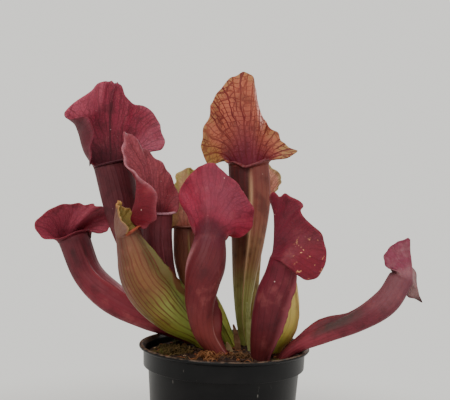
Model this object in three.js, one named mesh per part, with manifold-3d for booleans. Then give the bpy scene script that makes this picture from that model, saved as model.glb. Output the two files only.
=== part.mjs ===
// A potted pitcher plant: eleven hooded, tube-shaped leaves rising from a short rhizome that lies in
// peat, in a round black plastic pot with drain holes. Millimetres, +Z up. The origin is the centre
// of the pot's base, and the viewer of the main side looks along +Y.
import * as THREE from "three";
import { mergeVertices } from "three/addons/utils/BufferGeometryUtils.js";
import Module from "manifold-3d";

// ---- driving dimensions -------------------------------------------------------------------------
const POT_SIDES = 44;
const BASE_R = 34.5;
const FOOT_CHAMFER = 0.8;
const WAIST_R = 39.8;
const WAIST_Z = 68.6;
const BAND_R = 42.3;
const BAND_Z = 69.2;
const LIP_R = 45;
const RIM_Z = 80;
const POT_WALL = 1.2;
const FLOOR = 1.6;
const DRAIN_COUNT = 8;
const DRAIN_R = 3;
const DRAIN_RING_R = 24;
const CLEARANCE = 0.3;
const SOIL_EDGE_Z = 74.6;
const SOIL_CROWN_Z = 76.6;
const SOIL_HOLE_GAP = 0.45;
const SOIL_HOLE_DEPTH = 3.2;
const RHIZOME_Z = 62;
const RHIZOME_R = 5;
const RHIZOME_SIDES = 8;
const ROOT_R = 1.1;
const ROOT_SIDES = 5;

// One pitcher is a grid of points: rings up the tube, then rows out to the margin of the hood.
const LEAF_THICK = 0.8;
const RING_COLUMNS = 22;
const TUBE_ROWS = 8;
const HOOD_ROWS = 5;
const MARGIN_POINTS = 14;
const SOLID_FOOT = 0.25;
const PLUG_ROWS = 3;
const RELAX_STEPS = 5;
const RELAX_MARGIN = 0.05;
const RELAX_CORNER = 0.33;
const CORNER_AT = 0.17;
const CORNER_SPREAD = 0.08;
const RUFFLE_WAVES = 7;
const RUFFLE_START = 6;
const RUFFLE_SPAN = 18;
const CURVE_SAMPLES = 300;

// Each pitcher: its spine, the way its back faces along the spine, half width and half depth of the
// tube, the height of the wing down its front, the dip of the mouth's front, the rolled lip as
// [out, rise] at the front, the front quarter and the side, the margin of the hood from the left
// side over the tip to the right side, points that single rays of the hood bend through, and the
// depth and phase of the margin's waves.
const PITCHERS = [
  {
    name: "pitcher_tall_left",
    color: 0x6e2838,
    spine: [
      [-1.5, 12.5, 70], [-10.5, 14.5, 82.5], [-30.5, 17, 100.5], [-47.5, 19, 120.5],
      [-58, 21, 142], [-65.5, 22, 174],
    ],
    back: [
      [-0.6, 0.8, 0], [-0.25, 0.97, 0],
    ],
    wide: [2.6, 4, 6, 7.6, 8.8, 10.6],
    deep: [2.6, 4, 6, 7.4, 8.4, 9.5],
    wing: [0.3, 1, 2.8, 3.5, 2.5, 0],
    dip: 1,
    lip: [[1.5, 0.5], [1.5, 0.5], [1.5, 1]],
    hood: [
      [-77, 14, 171.5], [-73.5, 2, 192], [-90, 10, 200.5], [-74, 28, 220.5], [-69, 36, 220],
      [-65, 38, 222], [-56, 34, 210], [-39.5, 28, 199.5], [-37.5, 20, 183],
    ],
    bend: { 4: [-83, 15, 187.5], 5: [-85.5, 22, 193] },
    ruffle: [1.6, 0.5],
  },
  {
    name: "pitcher_far_left",
    color: 0x762a37,
    spine: [
      [-9, 16.5, 70], [-21, 20, 79.5], [-44, 24, 88.5], [-64.5, 29, 98.5], [-79, 33, 110.5],
      [-87, 35, 131],
    ],
    back: [
      [-0.3, 0.3, -0.9], [-0.5, 0.85, 0],
    ],
    wide: [2.6, 4.2, 7, 8.4, 7.4, 9.4],
    deep: [2.6, 4, 6.4, 8.2, 7.6, 8.5],
    wing: [0.6, 1.5, 2, 1.5, 0.4, 0],
    dip: 0.5,
    lip: [[1.5, 0.5], [1.5, 0.5], [1.5, 1]],
    hood: [
      [-105.5, 26, 131], [-108.5, 26, 139.5], [-98, 32, 149.5], [-83.5, 38, 153], [-74, 36, 151],
      [-71.5, 46, 150], [-68.5, 50, 143.5], [-70.5, 48, 135.5], [-76, 42, 132],
    ],
    bend: { 7: [-81.5, 29, 142.5] },
    ruffle: [1.2, 0.2],
  },
  {
    name: "pitcher_olive_front",
    color: 0x8a7a42,
    spine: [
      [-3, 0, 70], [-13, -0.5, 82.5], [-28.5, -6, 96], [-41.5, -11, 112.5], [-48.5, -14, 127.5],
      [-51, -15, 137],
    ],
    back: [
      [-0.75, -0.2, -0.6], [-0.95, 0.25, 0],
    ],
    wide: [2.8, 4.8, 8.5, 10.5, 9.5, 6.2],
    deep: [2.8, 4.8, 9, 11.5, 10.2, 6.2],
    wing: [0.8, 2.5, 4.5, 5, 3.6, 0],
    dip: 0,
    lip: [[1.5, 2.5], [1.2, 1.5], [1, 1]],
    hood: [
      [-51.5, -22, 137.5], [-54, -23, 140.5], [-55, -21, 145.5], [-56, -18, 150.5],
      [-56.5, -14, 154], [-55, -10, 151], [-50.5, -7, 149.5], [-48.5, -7, 145.5],
      [-48.5, -8, 140.5],
    ],
    bend: { 6: [-58, -20, 143.5], 7: [-59, -15, 143.5], 8: [-58.5, -10, 144] },
    ruffle: [0.3, 0],
  },
  {
    name: "pitcher_mid_left",
    color: 0x80303c,
    spine: [
      [3.5, 4.5, 70], [-6, 6.5, 86], [-19, 7.5, 102], [-29.5, 6, 118], [-34.5, 4, 134],
      [-36.5, 3, 148],
    ],
    back: [
      [-0.6, 0.8, 0], [-0.35, 0.94, 0],
    ],
    wide: [2.5, 3.8, 5, 5.6, 6, 7.6],
    deep: [2.5, 3.8, 5, 5.6, 6, 7.4],
    wing: [0.6, 2, 3, 2.5, 2, 0],
    dip: 0.5,
    lip: [[1.5, 0.5], [1.5, 0.5], [1.5, 1]],
    hood: [
      [-43.5, -7.5, 143.5], [-38.5, -12.5, 153], [-47, -9, 165], [-53.5, -6, 175.5],
      [-54.5, -2, 189.5], [-44.5, 8, 181.5], [-34.5, 12, 172], [-27, 9.5, 158.5],
      [-26.5, 7.5, 147.5],
    ],
    bend: { 4: [-48.5, -4, 152], 5: [-50.5, 0, 160] },
    ruffle: [1.3, 1.5],
  },
  {
    name: "pitcher_olive_back",
    color: 0x8c7d4a,
    spine: [
      [8, 11.5, 70], [-1, 14, 91], [-11, 16, 106.5], [-17, 17, 121.5], [-20, 17.5, 131.5],
      [-21.5, 18, 140],
    ],
    back: [
      [-0.3, 0.95, 0], [-0.1, 1, 0],
    ],
    wide: [2.5, 3.6, 5, 6, 7, 7.6],
    deep: [2.5, 3.6, 5, 6, 6.6, 7],
    wing: [0.6, 2, 3, 2.5, 2, 0],
    dip: 0.5,
    lip: [[1.5, 0.5], [1.5, 0.5], [1.5, 1]],
    hood: [
      [-31, 12, 137.5], [-32, 10.5, 142.5], [-31, 14, 155.5], [-31, 22, 166.5],
      [-24.5, 28, 173.5], [-18, 30, 172], [-12, 28, 166], [-8, 22, 156], [-11, 16, 141.5],
    ],
    ruffle: [0.9, 0.9],
  },
  {
    name: "pitcher_front",
    color: 0x8e3444,
    spine: [
      [6, -6, 70], [-3.5, -12, 80.5], [-10.5, -17, 90], [-13, -19, 103], [-12, -18, 115.5],
      [-10, -15.5, 127], [-9, -12.5, 136.5],
    ],
    back: [
      [-1, -0.15, 0], [-0.85, -0.5, 0], [0, -1, 0],
    ],
    wide: [2.8, 4.3, 5.9, 8, 10.2, 8.2],
    deep: [2.8, 4.3, 5.9, 8, 9.2, 7.5],
    wing: [0.8, 3, 6.5, 2.5, 1, 0],
    dip: 0.5,
    lip: [[1.5, 0.5], [1.5, 0.5], [1.5, 1]],
    hood: [
      [-1, -6, 137.5], [9, -8, 136.5], [13, -4, 149], [7, -4, 162], [-2, -8, 170],
      [-10.5, -12, 175], [-19, -8, 170], [-25.5, -4, 158.5], [-18.5, -6, 141],
    ],
    ruffle: [0.9, 0.3],
  },
  {
    name: "pitcher_right",
    color: 0x732436,
    spine: [
      [17.5, -14.5, 70], [18.5, -16, 84], [20.5, -18, 97.5], [23, -20, 109], [26.5, -21, 118],
      [28.5, -21, 126.5],
    ],
    back: [
      [-0.9, 0.3, 0], [-0.85, 0.5, 0],
    ],
    wide: [3.2, 5, 6.6, 7.2, 7.6, 7.4],
    deep: [3.2, 5.2, 6.8, 7.8, 8.2, 7.6],
    wing: [0.8, 2, 3.5, 3.5, 2.5, 0],
    dip: 0.5,
    lip: [[1.5, 0.5], [1.5, 0.5], [1.5, 1]],
    hood: [
      [34.5, -34.5, 121], [45, -35, 124], [47.5, -33, 137], [39, -28, 148], [35, -24, 157],
      [23, -16, 162], [21, -8, 156], [28, -4, 145.5], [35, -6, 131.5],
    ],
    bend: {
      3: [25, -33, 127], 4: [30, -34.5, 131], 5: [32, -32, 136.5], 7: [24, -22, 144.5], 8: [22, -16, 144],
    },
    ruffle: [0.8, 0.3],
  },
  {
    name: "pitcher_short",
    color: 0xa09655,
    spine: [
      [22.5, 1.5, 70], [25, -1, 83], [29.5, -1, 93], [31.5, 0, 102], [32, 1, 110.5],
      [31.5, 2, 118],
    ],
    back: [
      [-0.9, 0.3, 0], [-0.6, 0.8, 0],
    ],
    wide: [2.8, 5, 8, 8.3, 6.6, 5],
    deep: [2.8, 5, 8, 8.3, 6.6, 5],
    wing: [0.8, 2, 2.5, 2, 1, 0],
    dip: 0.5,
    lip: [[1.2, 0.5], [1.2, 0.5], [1.2, 1]],
    hood: [
      [26, 0, 119], [25.2, 2, 123.5], [26.5, 5, 129.5], [29, 8, 134.5], [33, 9.5, 138],
      [37, 10, 134.5], [39.5, 9.5, 129.5], [39.8, 8, 123.5], [37.5, 6, 119],
    ],
    ruffle: [0.3, 0.3],
  },
  {
    name: "pitcher_tall_back",
    color: 0xa8603f,
    spine: [
      [14, 13.5, 70], [10, 16.5, 90.5], [10, 20, 112], [11.5, 23, 134], [12, 25, 156.5],
      [10.5, 26, 178.5],
    ],
    back: [
      [0.1, 1, 0], [-0.05, 1, 0],
    ],
    wide: [3, 4, 6.6, 9.4, 11.6, 11.5],
    deep: [3, 4, 6, 8.6, 10, 10],
    wing: [0.8, 2, 2.5, 2.5, 2, 0],
    dip: 4.5,
    lip: [[1.5, 0.6], [1.4, 1], [1.5, 1.8]],
    hood: [
      [-7, 18, 176], [-15.5, 12, 179.5], [-14.5, 18, 196.5], [-10, 32, 215], [4, 42, 231],
      [14, 42, 224], [19.5, 36, 202], [27, 30, 192], [36.5, 24, 182.5],
    ],
    ruffle: [1.2, 0.3],
  },
  {
    name: "pitcher_small_back",
    color: 0xb07a48,
    spine: [
      [17.5, 21, 70], [14.5, 26, 89], [15, 33, 108], [15.5, 38, 127.5], [16.5, 40, 142],
      [17, 42, 153.5],
    ],
    back: [
      [0.3, 1, 0], [0.3, 0.95, 0],
    ],
    wide: [2.5, 3, 3.8, 4.6, 5.2, 5.6],
    deep: [2.5, 3, 3.8, 4.6, 5.2, 5.6],
    wing: [0.6, 2, 2, 1.5, 1, 0],
    dip: 0.5,
    lip: [[1.2, 0.6], [1.2, 1.2], [1.5, 1.5]],
    hood: [
      [11, 43.5, 155], [9, 43.5, 159], [9.5, 45, 165.5], [12, 47, 173], [17, 48, 177.5],
      [24, 48, 177], [31.5, 46, 169.5], [29, 44, 163.5], [23.5, 41.5, 157.5],
    ],
    ruffle: [0.5, 0.3],
  },
  {
    name: "pitcher_far_right",
    color: 0x874048,
    spine: [
      [26, -8, 70], [36, -13, 81.5], [51, -17, 90], [66.5, -20, 97.5], [79.5, -20, 108],
      [87, -19, 120.5],
    ],
    back: [
      [0.3, -0.3, -0.9], [0.7, -0.6, -0.5],
    ],
    wide: [2.6, 3.2, 4.4, 5, 5.8, 5.4],
    deep: [2.6, 3.2, 4.4, 5, 5.6, 5.2],
    wing: [0.6, 0.8, 4, 1.2, 0.8, 0],
    dip: 0.5,
    lip: [[1.2, 0.6], [1.2, 1.2], [1.5, 1.5]],
    hood: [
      [91, -15, 111.5], [99.5, -17, 109], [99, -19, 120], [94, -20, 127.5], [91.5, -21, 133.5],
      [92, -22, 139.5], [85.5, -23, 138], [80.5, -24, 131], [83, -26, 126],
    ],
    ruffle: [0.4, 0.3],
  },];

// Narrow blades that stand among the pitchers: spine, half width and half thickness.
const BLADES = [
  {
    name: "leaf_narrow",
    color: 0x6f8a3c,
    spine: [[14.5, 3, 70], [13.9, 4, 80], [12.8, 5, 90.5], [11.5, 6.5, 101.5]],
    wide: [1.4, 1.9, 1.5, 0.45],
    thick: 0.45,
    face: [0.25, -1, 0],
  },
  {
    name: "bract_dry",
    color: 0x5a3420,
    spine: [[8, -0.8, 70], [7.2, -1.2, 78], [6, -2, 85.5], [4.4, -2.6, 91]],
    wide: [1.3, 1.7, 1.5, 0.5],
    thick: 0.4,
    face: [0.1, -1, 0.1],
  },
  {
    name: "scale_dry",
    color: 0xa08a5a,
    spine: [[3.2, -2.2, 70], [2.9, -2.8, 75], [2.2, -3.8, 79], [1.2, -5.2, 82]],
    wide: [1.2, 1.8, 1.7, 0.5],
    thick: 0.4,
    face: [0.2, -1, 0.3],
  },
];
const BLADE_ROWS = 9;
const BLADE_SIDES = 8;

// The rhizome's branches and its roots, as runs of points in the bed of the peat.
const RHIZOME_RUNS = [
  [[-11, 17], [-2, 11.5], [8, 8], [16, 5.5], [22.5, 1], [28, -9]],
  [[-6, 0], [3, 1.5], [8, 8], [14, 14], [19, 23]],
  [[5, -9], [11.5, -1], [16, 5.5]],
  [[17, -17], [20, -7], [22.5, 1]],
];
const ROOT_RUNS = [
  [[-8, 15, 60], [-17, 20, 52], [-22, 20, 38], [-21, 16, 24]],
  [[6, -6, 60], [5, -15, 50], [8, -22, 38], [12, -24, 25]],
  [[18, -12, 60], [24, -18, 48], [24, -20, 36], [20, -17, 22]],
  [[16, 18, 60], [17, 26, 50], [10, 29, 38], [2, 27, 24]],
  [[6, 7, 60], [4, 9, 46], [0, 6, 32], [1, 3, 16]],
];

// ---- small helpers ------------------------------------------------------------------------------
const wasm = await Module();
wasm.setup();

const vec = (p) => new THREE.Vector3(...p);
const spread = (count, at) => Array.from({ length: count }, (_, i) => at(i));
const blend = (a, b, t) => a.clone().lerp(b, t);

// A cubic through b and c, with a and d as its neighbours.
function cubic(a, b, c, d, t) {
  const t2 = t * t;
  const t3 = t2 * t;
  return (2 * b - 2 * c + (c - a) / 2 + (d - b) / 2) * t3
    + (-3 * b + 3 * c - (c - a) - (d - b) / 2) * t2
    + ((c - a) / 2) * t
    + b;
}

function cubicPoint(a, b, c, d, t) {
  const at = (axis) => cubic(...[a, b, c, d].map((p) => p.getComponent(axis)), t);
  return new THREE.Vector3(at(0), at(1), at(2));
}

// A value from a list spaced evenly over 0 to 1.
function profile(list, s) {
  const span = THREE.MathUtils.clamp(s, 0, 1) * (list.length - 1);
  const i = Math.min(Math.floor(span), list.length - 2);
  const before = i > 0 ? list[i - 1] : 2 * list[0] - list[1];
  const after = i + 2 < list.length ? list[i + 2] : 2 * list[i + 1] - list[i];
  return cubic(before, list[i], list[i + 1], after, span - i);
}

// A point of an open curve through all the points, t over 0 to 1.
function curvePoint(points, t) {
  const at = (axis) => profile(points.map((p) => p.getComponent(axis)), t);
  return new THREE.Vector3(at(0), at(1), at(2));
}

// A point of a closed curve through all the points, u over 0 to 1.
function loopPoint(points, u) {
  const n = points.length;
  const span = u * n;
  const i = Math.floor(span);
  const pick = (k) => points[(((i + k) % n) + n) % n];
  return cubicPoint(pick(-1), pick(0), pick(1), pick(2), span - i);
}

// Points at even distances along a spine, each with its tangent, its back and its side.
function framesAlong(spine, backs, rows) {
  const points = spine.map(vec);
  const samples = spread(CURVE_SAMPLES, (i) => curvePoint(points, i / (CURVE_SAMPLES - 1)));
  const lengths = [0];
  for (let i = 1; i < samples.length; i += 1) {
    lengths.push(lengths[i - 1] + samples[i].distanceTo(samples[i - 1]));
  }
  const total = lengths[lengths.length - 1];
  const at = (s) => {
    const goal = THREE.MathUtils.clamp(s, 0, 1) * total;
    let i = 1;
    while (i < lengths.length - 1 && lengths[i] < goal) i += 1;
    return blend(samples[i - 1], samples[i], (goal - lengths[i - 1]) / (lengths[i] - lengths[i - 1]));
  };
  const dirs = backs.map((b) => vec(b).normalize());
  const step = 0.01;
  return spread(rows, (k) => {
    const s = k / (rows - 1);
    const tangent = at(s + step).sub(at(s - step)).normalize();
    const back = dirs.length > 2 ? curvePoint(dirs, s) : blend(dirs[0], dirs[dirs.length - 1], s);
    back.addScaledVector(tangent, -back.dot(tangent)).normalize();
    return { s, centre: at(s), tangent, back, side: back.clone().cross(tangent) };
  });
}

// Closed faces over grids of points. A grid's rows run upward and each row goes round once.
function closedMesh(points, faces) {
  const geometry = new THREE.BufferGeometry();
  geometry.setAttribute("position", new THREE.Float32BufferAttribute(points.flatMap((p) => p.toArray()), 3));
  geometry.setIndex(faces);
  return geometry;
}

function wallFaces(faces, start, rows, columns, inward) {
  for (let i = 0; i < rows - 1; i += 1) {
    for (let j = 0; j < columns; j += 1) {
      const next = (j + 1) % columns;
      const a = start + i * columns + j;
      const b = start + i * columns + next;
      const c = b + columns;
      const d = a + columns;
      faces.push(...(inward ? [a, b, c, a, c, d] : [a, c, b, a, d, c]));
    }
  }
}

function fanFaces(faces, centre, start, columns, inward) {
  for (let j = 0; j < columns; j += 1) {
    const next = (j + 1) % columns;
    faces.push(...(inward ? [centre, start + next, start + j] : [centre, start + j, start + next]));
  }
}

function meanPoint(row) {
  const sum = new THREE.Vector3();
  row.forEach((p) => sum.add(p));
  return sum.divideScalar(row.length);
}

// ---- a pitcher ----------------------------------------------------------------------------------
// Angles are measured from the front of the mouth. They crowd toward the back, where the hood grows.
const ringAngle = (u) => 2 * Math.PI * u + 0.5 * Math.sin(2 * Math.PI * u);

function ringPoint(frame, leaf, angle, inset, wing) {
  const half = Math.max(profile(leaf.wide, frame.s) - inset, 0.2);
  const deep = Math.max(profile(leaf.deep, frame.s) - inset, 0.2);
  const drop = leaf.dip * frame.s ** 6 * (1 + Math.cos(angle)) / 2;
  return frame.centre.clone()
    .addScaledVector(frame.side, -half * Math.sin(angle))
    .addScaledVector(frame.back, -deep * Math.cos(angle) - wing)
    .addScaledVector(frame.tangent, -drop);
}

// The mouth's margin: five points of rolled lip round the front, nine points of hood round the back.
function marginPoints(leaf, mouth) {
  const lipOf = { 0: 0, 1: 1, 13: 1, 2: 2, 12: 2 };
  return spread(MARGIN_POINTS, (k) => {
    const angle = ringAngle(k / MARGIN_POINTS);
    const from = ringPoint(mouth, leaf, angle, 0, 0);
    if (k in lipOf) {
      const [out, rise] = leaf.lip[lipOf[k]];
      const away = mouth.side.clone().multiplyScalar(-Math.sin(angle));
      away.addScaledVector(mouth.back, -Math.cos(angle)).normalize();
      const middle = from.clone().addScaledVector(away, 0.35 * out);
      middle.addScaledVector(mouth.tangent, Math.max(rise, 0) + 0.35 * out);
      from.addScaledVector(away, out).addScaledVector(mouth.tangent, rise);
      return { edge: from, middle };
    }
    const edge = vec(leaf.hood[k - 3]);
    if (leaf.bend && k in leaf.bend) return { edge, middle: vec(leaf.bend[k]) };
    const reach = edge.clone().sub(from);
    const middle = blend(from, edge, 0.5);
    middle.addScaledVector(mouth.tangent, reach.length() * 1.1 / 8).addScaledVector(reach, -0.9 / 8);
    return { edge, middle };
  });
}

function hoodRows(leaf, mouth, ring) {
  const margin = marginPoints(leaf, mouth);
  const rays = ring.map((start, j) => {
    const u = j / RING_COLUMNS;
    const edge = loopPoint(margin.map((m) => m.edge), u);
    const middle = loopPoint(margin.map((m) => m.middle), u);
    const before = start.clone().addScaledVector(mouth.tangent, -middle.distanceTo(start));
    const after = edge.clone().multiplyScalar(2).sub(middle);
    return [before, start, middle, edge, after];
  });
  return spread(HOOD_ROWS, (k) => rays.map((ray) => {
    const span = 2 * (k + 1) / HOOD_ROWS;
    const i = Math.min(Math.floor(span), 1);
    return cubicPoint(ray[i], ray[i + 1], ray[i + 2], ray[i + 3], span - i);
  }));
}

// Evens out the hood's sheet, holding the mouth and nearly holding the margin.
function relaxed(grid) {
  const last = grid.length - 1;
  const around = (row, j, k) => row[(j + k + RING_COLUMNS) % RING_COLUMNS];
  return grid.map((row, i) => row.map((p, j) => {
    if (i < TUBE_ROWS) return p;
    const beside = around(row, j, 1).clone().add(around(row, j, -1));
    if (i < last) {
      beside.add(grid[i - 1][j]).add(grid[i + 1][j]);
      return p.clone().multiplyScalar(0.5).addScaledVector(beside, 0.125);
    }
    const u = j / RING_COLUMNS;
    const off = (Math.min(u, 1 - u) - CORNER_AT) / CORNER_SPREAD;
    const pull = RELAX_MARGIN + RELAX_CORNER * Math.exp(-off * off);
    return p.clone().multiplyScalar(1 - pull).addScaledVector(beside, pull / 2);
  }));
}

// Outward directions of the sheet at every point of the grid.
function sheetNormals(grid) {
  const last = grid.length - 1;
  return grid.map((row, i) => row.map((_, j) => {
    const right = row[(j + 1) % RING_COLUMNS].clone().sub(row[(j + RING_COLUMNS - 1) % RING_COLUMNS]);
    const up = grid[Math.min(i + 1, last)][j].clone().sub(grid[Math.max(i - 1, 0)][j]);
    return up.cross(right).normalize();
  }));
}

function softened(row) {
  return row.map((n, j) => n.clone().multiplyScalar(2)
    .add(row[(j + 1) % RING_COLUMNS])
    .add(row[(j + RING_COLUMNS - 1) % RING_COLUMNS])
    .normalize());
}

function pitcherGrids(leaf) {
  const frames = framesAlong(leaf.spine, leaf.back, TUBE_ROWS);
  const mouth = frames[TUBE_ROWS - 1];
  const angles = spread(RING_COLUMNS, (j) => ringAngle(j / RING_COLUMNS));
  const tube = frames.map((frame) => angles.map((angle, j) => {
    return ringPoint(frame, leaf, angle, 0, j === 0 ? profile(leaf.wing, frame.s) : 0);
  }));
  let outer = [...tube, ...hoodRows(leaf, mouth, tube[TUBE_ROWS - 1])];
  for (let k = 0; k < RELAX_STEPS; k += 1) outer = relaxed(outer);

  const [depth, phase] = leaf.ruffle;
  const flat = sheetNormals(outer);
  const reach = outer[outer.length - 1].map((p, j) => p.distanceTo(outer[TUBE_ROWS - 1][j]));
  outer.slice(TUBE_ROWS).forEach((row, k) => row.forEach((p, j) => {
    const far = THREE.MathUtils.clamp((reach[j] - RUFFLE_START) / RUFFLE_SPAN, 0, 1);
    const wave = Math.sin(2 * Math.PI * RUFFLE_WAVES * j / RING_COLUMNS + phase);
    p.addScaledVector(flat[TUBE_ROWS + k][j], depth * far * wave * ((k + 1) / HOOD_ROWS) ** 2);
  }));

  const lining = frames.map((frame) => angles.map((angle) => ringPoint(frame, leaf, angle, LEAF_THICK, 0)));
  const normals = sheetNormals(outer).map((row) => softened(softened(row)));
  const hoodLining = outer.slice(TUBE_ROWS).map((row, k) => row.map((p, j) => {
    return p.clone().addScaledVector(normals[TUBE_ROWS + k][j], -LEAF_THICK);
  }));
  return { outer, inner: [...lining, ...hoodLining] };
}

// The tube's foot is solid; above it the leaf is a thin wall up to the margin.
function pitcherGeometry({ outer, inner }) {
  const foot = Math.max(1, Math.floor(SOLID_FOOT * TUBE_ROWS));
  const hollow = inner.slice(foot);
  const points = [...outer.flat(), ...hollow.flat(), meanPoint(outer[0]), meanPoint(hollow[0])];
  const innerStart = outer.length * RING_COLUMNS;
  const footCentre = innerStart + hollow.length * RING_COLUMNS;
  const faces = [];
  wallFaces(faces, 0, outer.length, RING_COLUMNS, false);
  wallFaces(faces, innerStart, hollow.length, RING_COLUMNS, true);
  fanFaces(faces, footCentre, 0, RING_COLUMNS, false);
  fanFaces(faces, footCentre + 1, innerStart, RING_COLUMNS, true);
  const outerEdge = (outer.length - 1) * RING_COLUMNS;
  const innerEdge = innerStart + (hollow.length - 1) * RING_COLUMNS;
  for (let j = 0; j < RING_COLUMNS; j += 1) {
    const next = (j + 1) % RING_COLUMNS;
    faces.push(outerEdge + j, innerEdge + next, outerEdge + next);
    faces.push(outerEdge + j, innerEdge + j, innerEdge + next);
  }
  return closedMesh(points, faces);
}

// A plain plug round the foot of a pitcher, a little wider than the leaf, to cut its hole in the peat.
function footPlug(outer) {
  const down = meanPoint(outer[0]).sub(meanPoint(outer[1])).normalize();
  const widened = outer.slice(0, PLUG_ROWS).map((row) => {
    const centre = meanPoint(row);
    return row.filter((_, j) => j % 2 === 0).map((p) => {
      const away = p.clone().sub(centre);
      return p.clone().addScaledVector(away.normalize(), SOIL_HOLE_GAP);
    });
  });
  const bottom = widened[0].map((p) => p.clone().addScaledVector(down, SOIL_HOLE_DEPTH));
  const rows = [bottom, ...widened];
  const columns = bottom.length;
  const points = [...rows.flat(), meanPoint(bottom), meanPoint(widened[PLUG_ROWS - 1])];
  const faces = [];
  wallFaces(faces, 0, rows.length, columns, false);
  fanFaces(faces, rows.length * columns, 0, columns, false);
  fanFaces(faces, rows.length * columns + 1, (rows.length - 1) * columns, columns, true);
  return closedMesh(points, faces);
}

// ---- a narrow blade -----------------------------------------------------------------------------
function bladeRows(blade, grow) {
  const back = vec(blade.face).multiplyScalar(-1).toArray();
  return framesAlong(blade.spine, [back, back], BLADE_ROWS).map((frame) => {
    const half = profile(blade.wide, frame.s) + grow;
    return spread(BLADE_SIDES, (j) => {
      const angle = 2 * Math.PI * j / BLADE_SIDES;
      return frame.centre.clone()
        .addScaledVector(frame.side, -half * Math.sin(angle))
        .addScaledVector(frame.back, -(blade.thick + grow) * Math.cos(angle));
    });
  });
}

function rowsGeometry(rows) {
  const columns = rows[0].length;
  const points = [...rows.flat(), meanPoint(rows[0]), meanPoint(rows[rows.length - 1])];
  const faces = [];
  wallFaces(faces, 0, rows.length, columns, false);
  fanFaces(faces, rows.length * columns, 0, columns, false);
  fanFaces(faces, rows.length * columns + 1, (rows.length - 1) * columns, columns, true);
  return closedMesh(points, faces);
}

// ---- solids -------------------------------------------------------------------------------------
function toSolid(geometry) {
  const bare = geometry.clone();
  bare.deleteAttribute("normal");
  bare.deleteAttribute("uv");
  const merged = mergeVertices(bare, 1e-4);
  return new wasm.Manifold(new wasm.Mesh({
    numProp: 3,
    vertProperties: new Float32Array(merged.attributes.position.array),
    triVerts: new Uint32Array(merged.index.array),
  }));
}

function fromSolid(solid) {
  const mesh = solid.getMesh();
  const geometry = new THREE.BufferGeometry();
  geometry.setAttribute("position", new THREE.BufferAttribute(new Float32Array(mesh.vertProperties), 3));
  geometry.setIndex(new THREE.BufferAttribute(new Uint32Array(mesh.triVerts), 1));
  return geometry;
}

const upright = (geometry) => geometry.rotateX(Math.PI / 2);
const turned = (rings) => {
  const outline = rings.map(([r, z]) => new THREE.Vector2(r, z));
  return upright(new THREE.LatheGeometry(outline, POT_SIDES));
};

function potSolid() {
  const inner = WAIST_R - POT_WALL;
  let pot = toSolid(turned([
    [0, 0], [BASE_R - FOOT_CHAMFER, 0], [BASE_R, FOOT_CHAMFER], [WAIST_R, WAIST_Z], [BAND_R, BAND_Z],
    [BAND_R + 0.3, RIM_Z - 2.4], [LIP_R - 0.6, RIM_Z - 1.6], [LIP_R, RIM_Z - 0.8], [LIP_R - 0.4, RIM_Z],
    [LIP_R - 1.9, RIM_Z], [BAND_R - POT_WALL + 0.3, RIM_Z - 2], [BAND_R - POT_WALL - 0.1, BAND_Z + 1.1],
    [inner, BAND_Z], [BASE_R - POT_WALL, FLOOR], [0, FLOOR],
  ]));
  for (let k = 0; k < DRAIN_COUNT; k += 1) {
    const angle = 2 * Math.PI * (k + 0.5) / DRAIN_COUNT;
    const hole = upright(new THREE.CylinderGeometry(DRAIN_R, DRAIN_R, 6 * FLOOR, 16));
    hole.translate(DRAIN_RING_R * Math.cos(angle), DRAIN_RING_R * Math.sin(angle), 0);
    pot = pot.subtract(toSolid(hole));
  }
  return pot;
}

function tubeAlong(points, radius, sides, steps) {
  const outline = spread(sides, (j) => {
    const angle = 2 * Math.PI * j / sides;
    return new THREE.Vector2(radius * Math.cos(angle), radius * Math.sin(angle));
  });
  const path = new THREE.CatmullRomCurve3(points, false, "catmullrom", 0.5);
  return new THREE.ExtrudeGeometry(new THREE.Shape(outline), { steps, extrudePath: path });
}

// The same run with both its ends moved outward by a distance.
function lengthened(run, distance) {
  const points = run.map(vec);
  const last = points.length - 1;
  points[0].addScaledVector(points[0].clone().sub(points[1]).normalize(), distance);
  points[last].addScaledVector(points[last].clone().sub(points[last - 1]).normalize(), distance);
  return points;
}

function rhizomeSolid(grow) {
  const stems = RHIZOME_RUNS.map((run) => {
    const level = lengthened(run.map(([x, y]) => [x, y, RHIZOME_Z]), grow);
    return toSolid(tubeAlong(level, RHIZOME_R + grow, RHIZOME_SIDES, run.length));
  });
  const roots = ROOT_RUNS.map((run) => {
    return toSolid(tubeAlong(lengthened(run, grow), ROOT_R + grow, ROOT_SIDES, 5));
  });
  return [...stems, ...roots].reduce((sum, solid) => sum.add(solid));
}

function soilSolid(plugs) {
  const inner = WAIST_R - POT_WALL - CLEARANCE;
  const brim = BAND_R - POT_WALL - CLEARANCE;
  const body = toSolid(turned([
    [0, FLOOR + CLEARANCE], [BASE_R - POT_WALL - CLEARANCE, FLOOR + CLEARANCE], [inner - 0.05, BAND_Z + 0.3],
    [brim - 0.2, BAND_Z + 1.6], [brim, SOIL_EDGE_Z], [BASE_R, SOIL_EDGE_Z + 0.5],
    [BASE_R / 2, SOIL_CROWN_Z - 0.4], [0, SOIL_CROWN_Z],
  ]));
  return plugs.reduce((soil, plug) => soil.subtract(plug), body);
}

// ---- the scene ----------------------------------------------------------------------------------
const group = new THREE.Group();
group.name = "potted_pitcher_plant";

function place(name, geometry, color, roughness) {
  const material = new THREE.MeshStandardMaterial({ color, roughness, metalness: 0 });
  const mesh = new THREE.Mesh(geometry, material);
  mesh.name = name;
  group.add(mesh);
}

const grids = PITCHERS.map(pitcherGrids);
const plugs = [
  ...grids.map(({ outer }) => toSolid(footPlug(outer))),
  ...BLADES.map((blade) => toSolid(rowsGeometry(bladeRows(blade, SOIL_HOLE_GAP)))),
];

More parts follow.
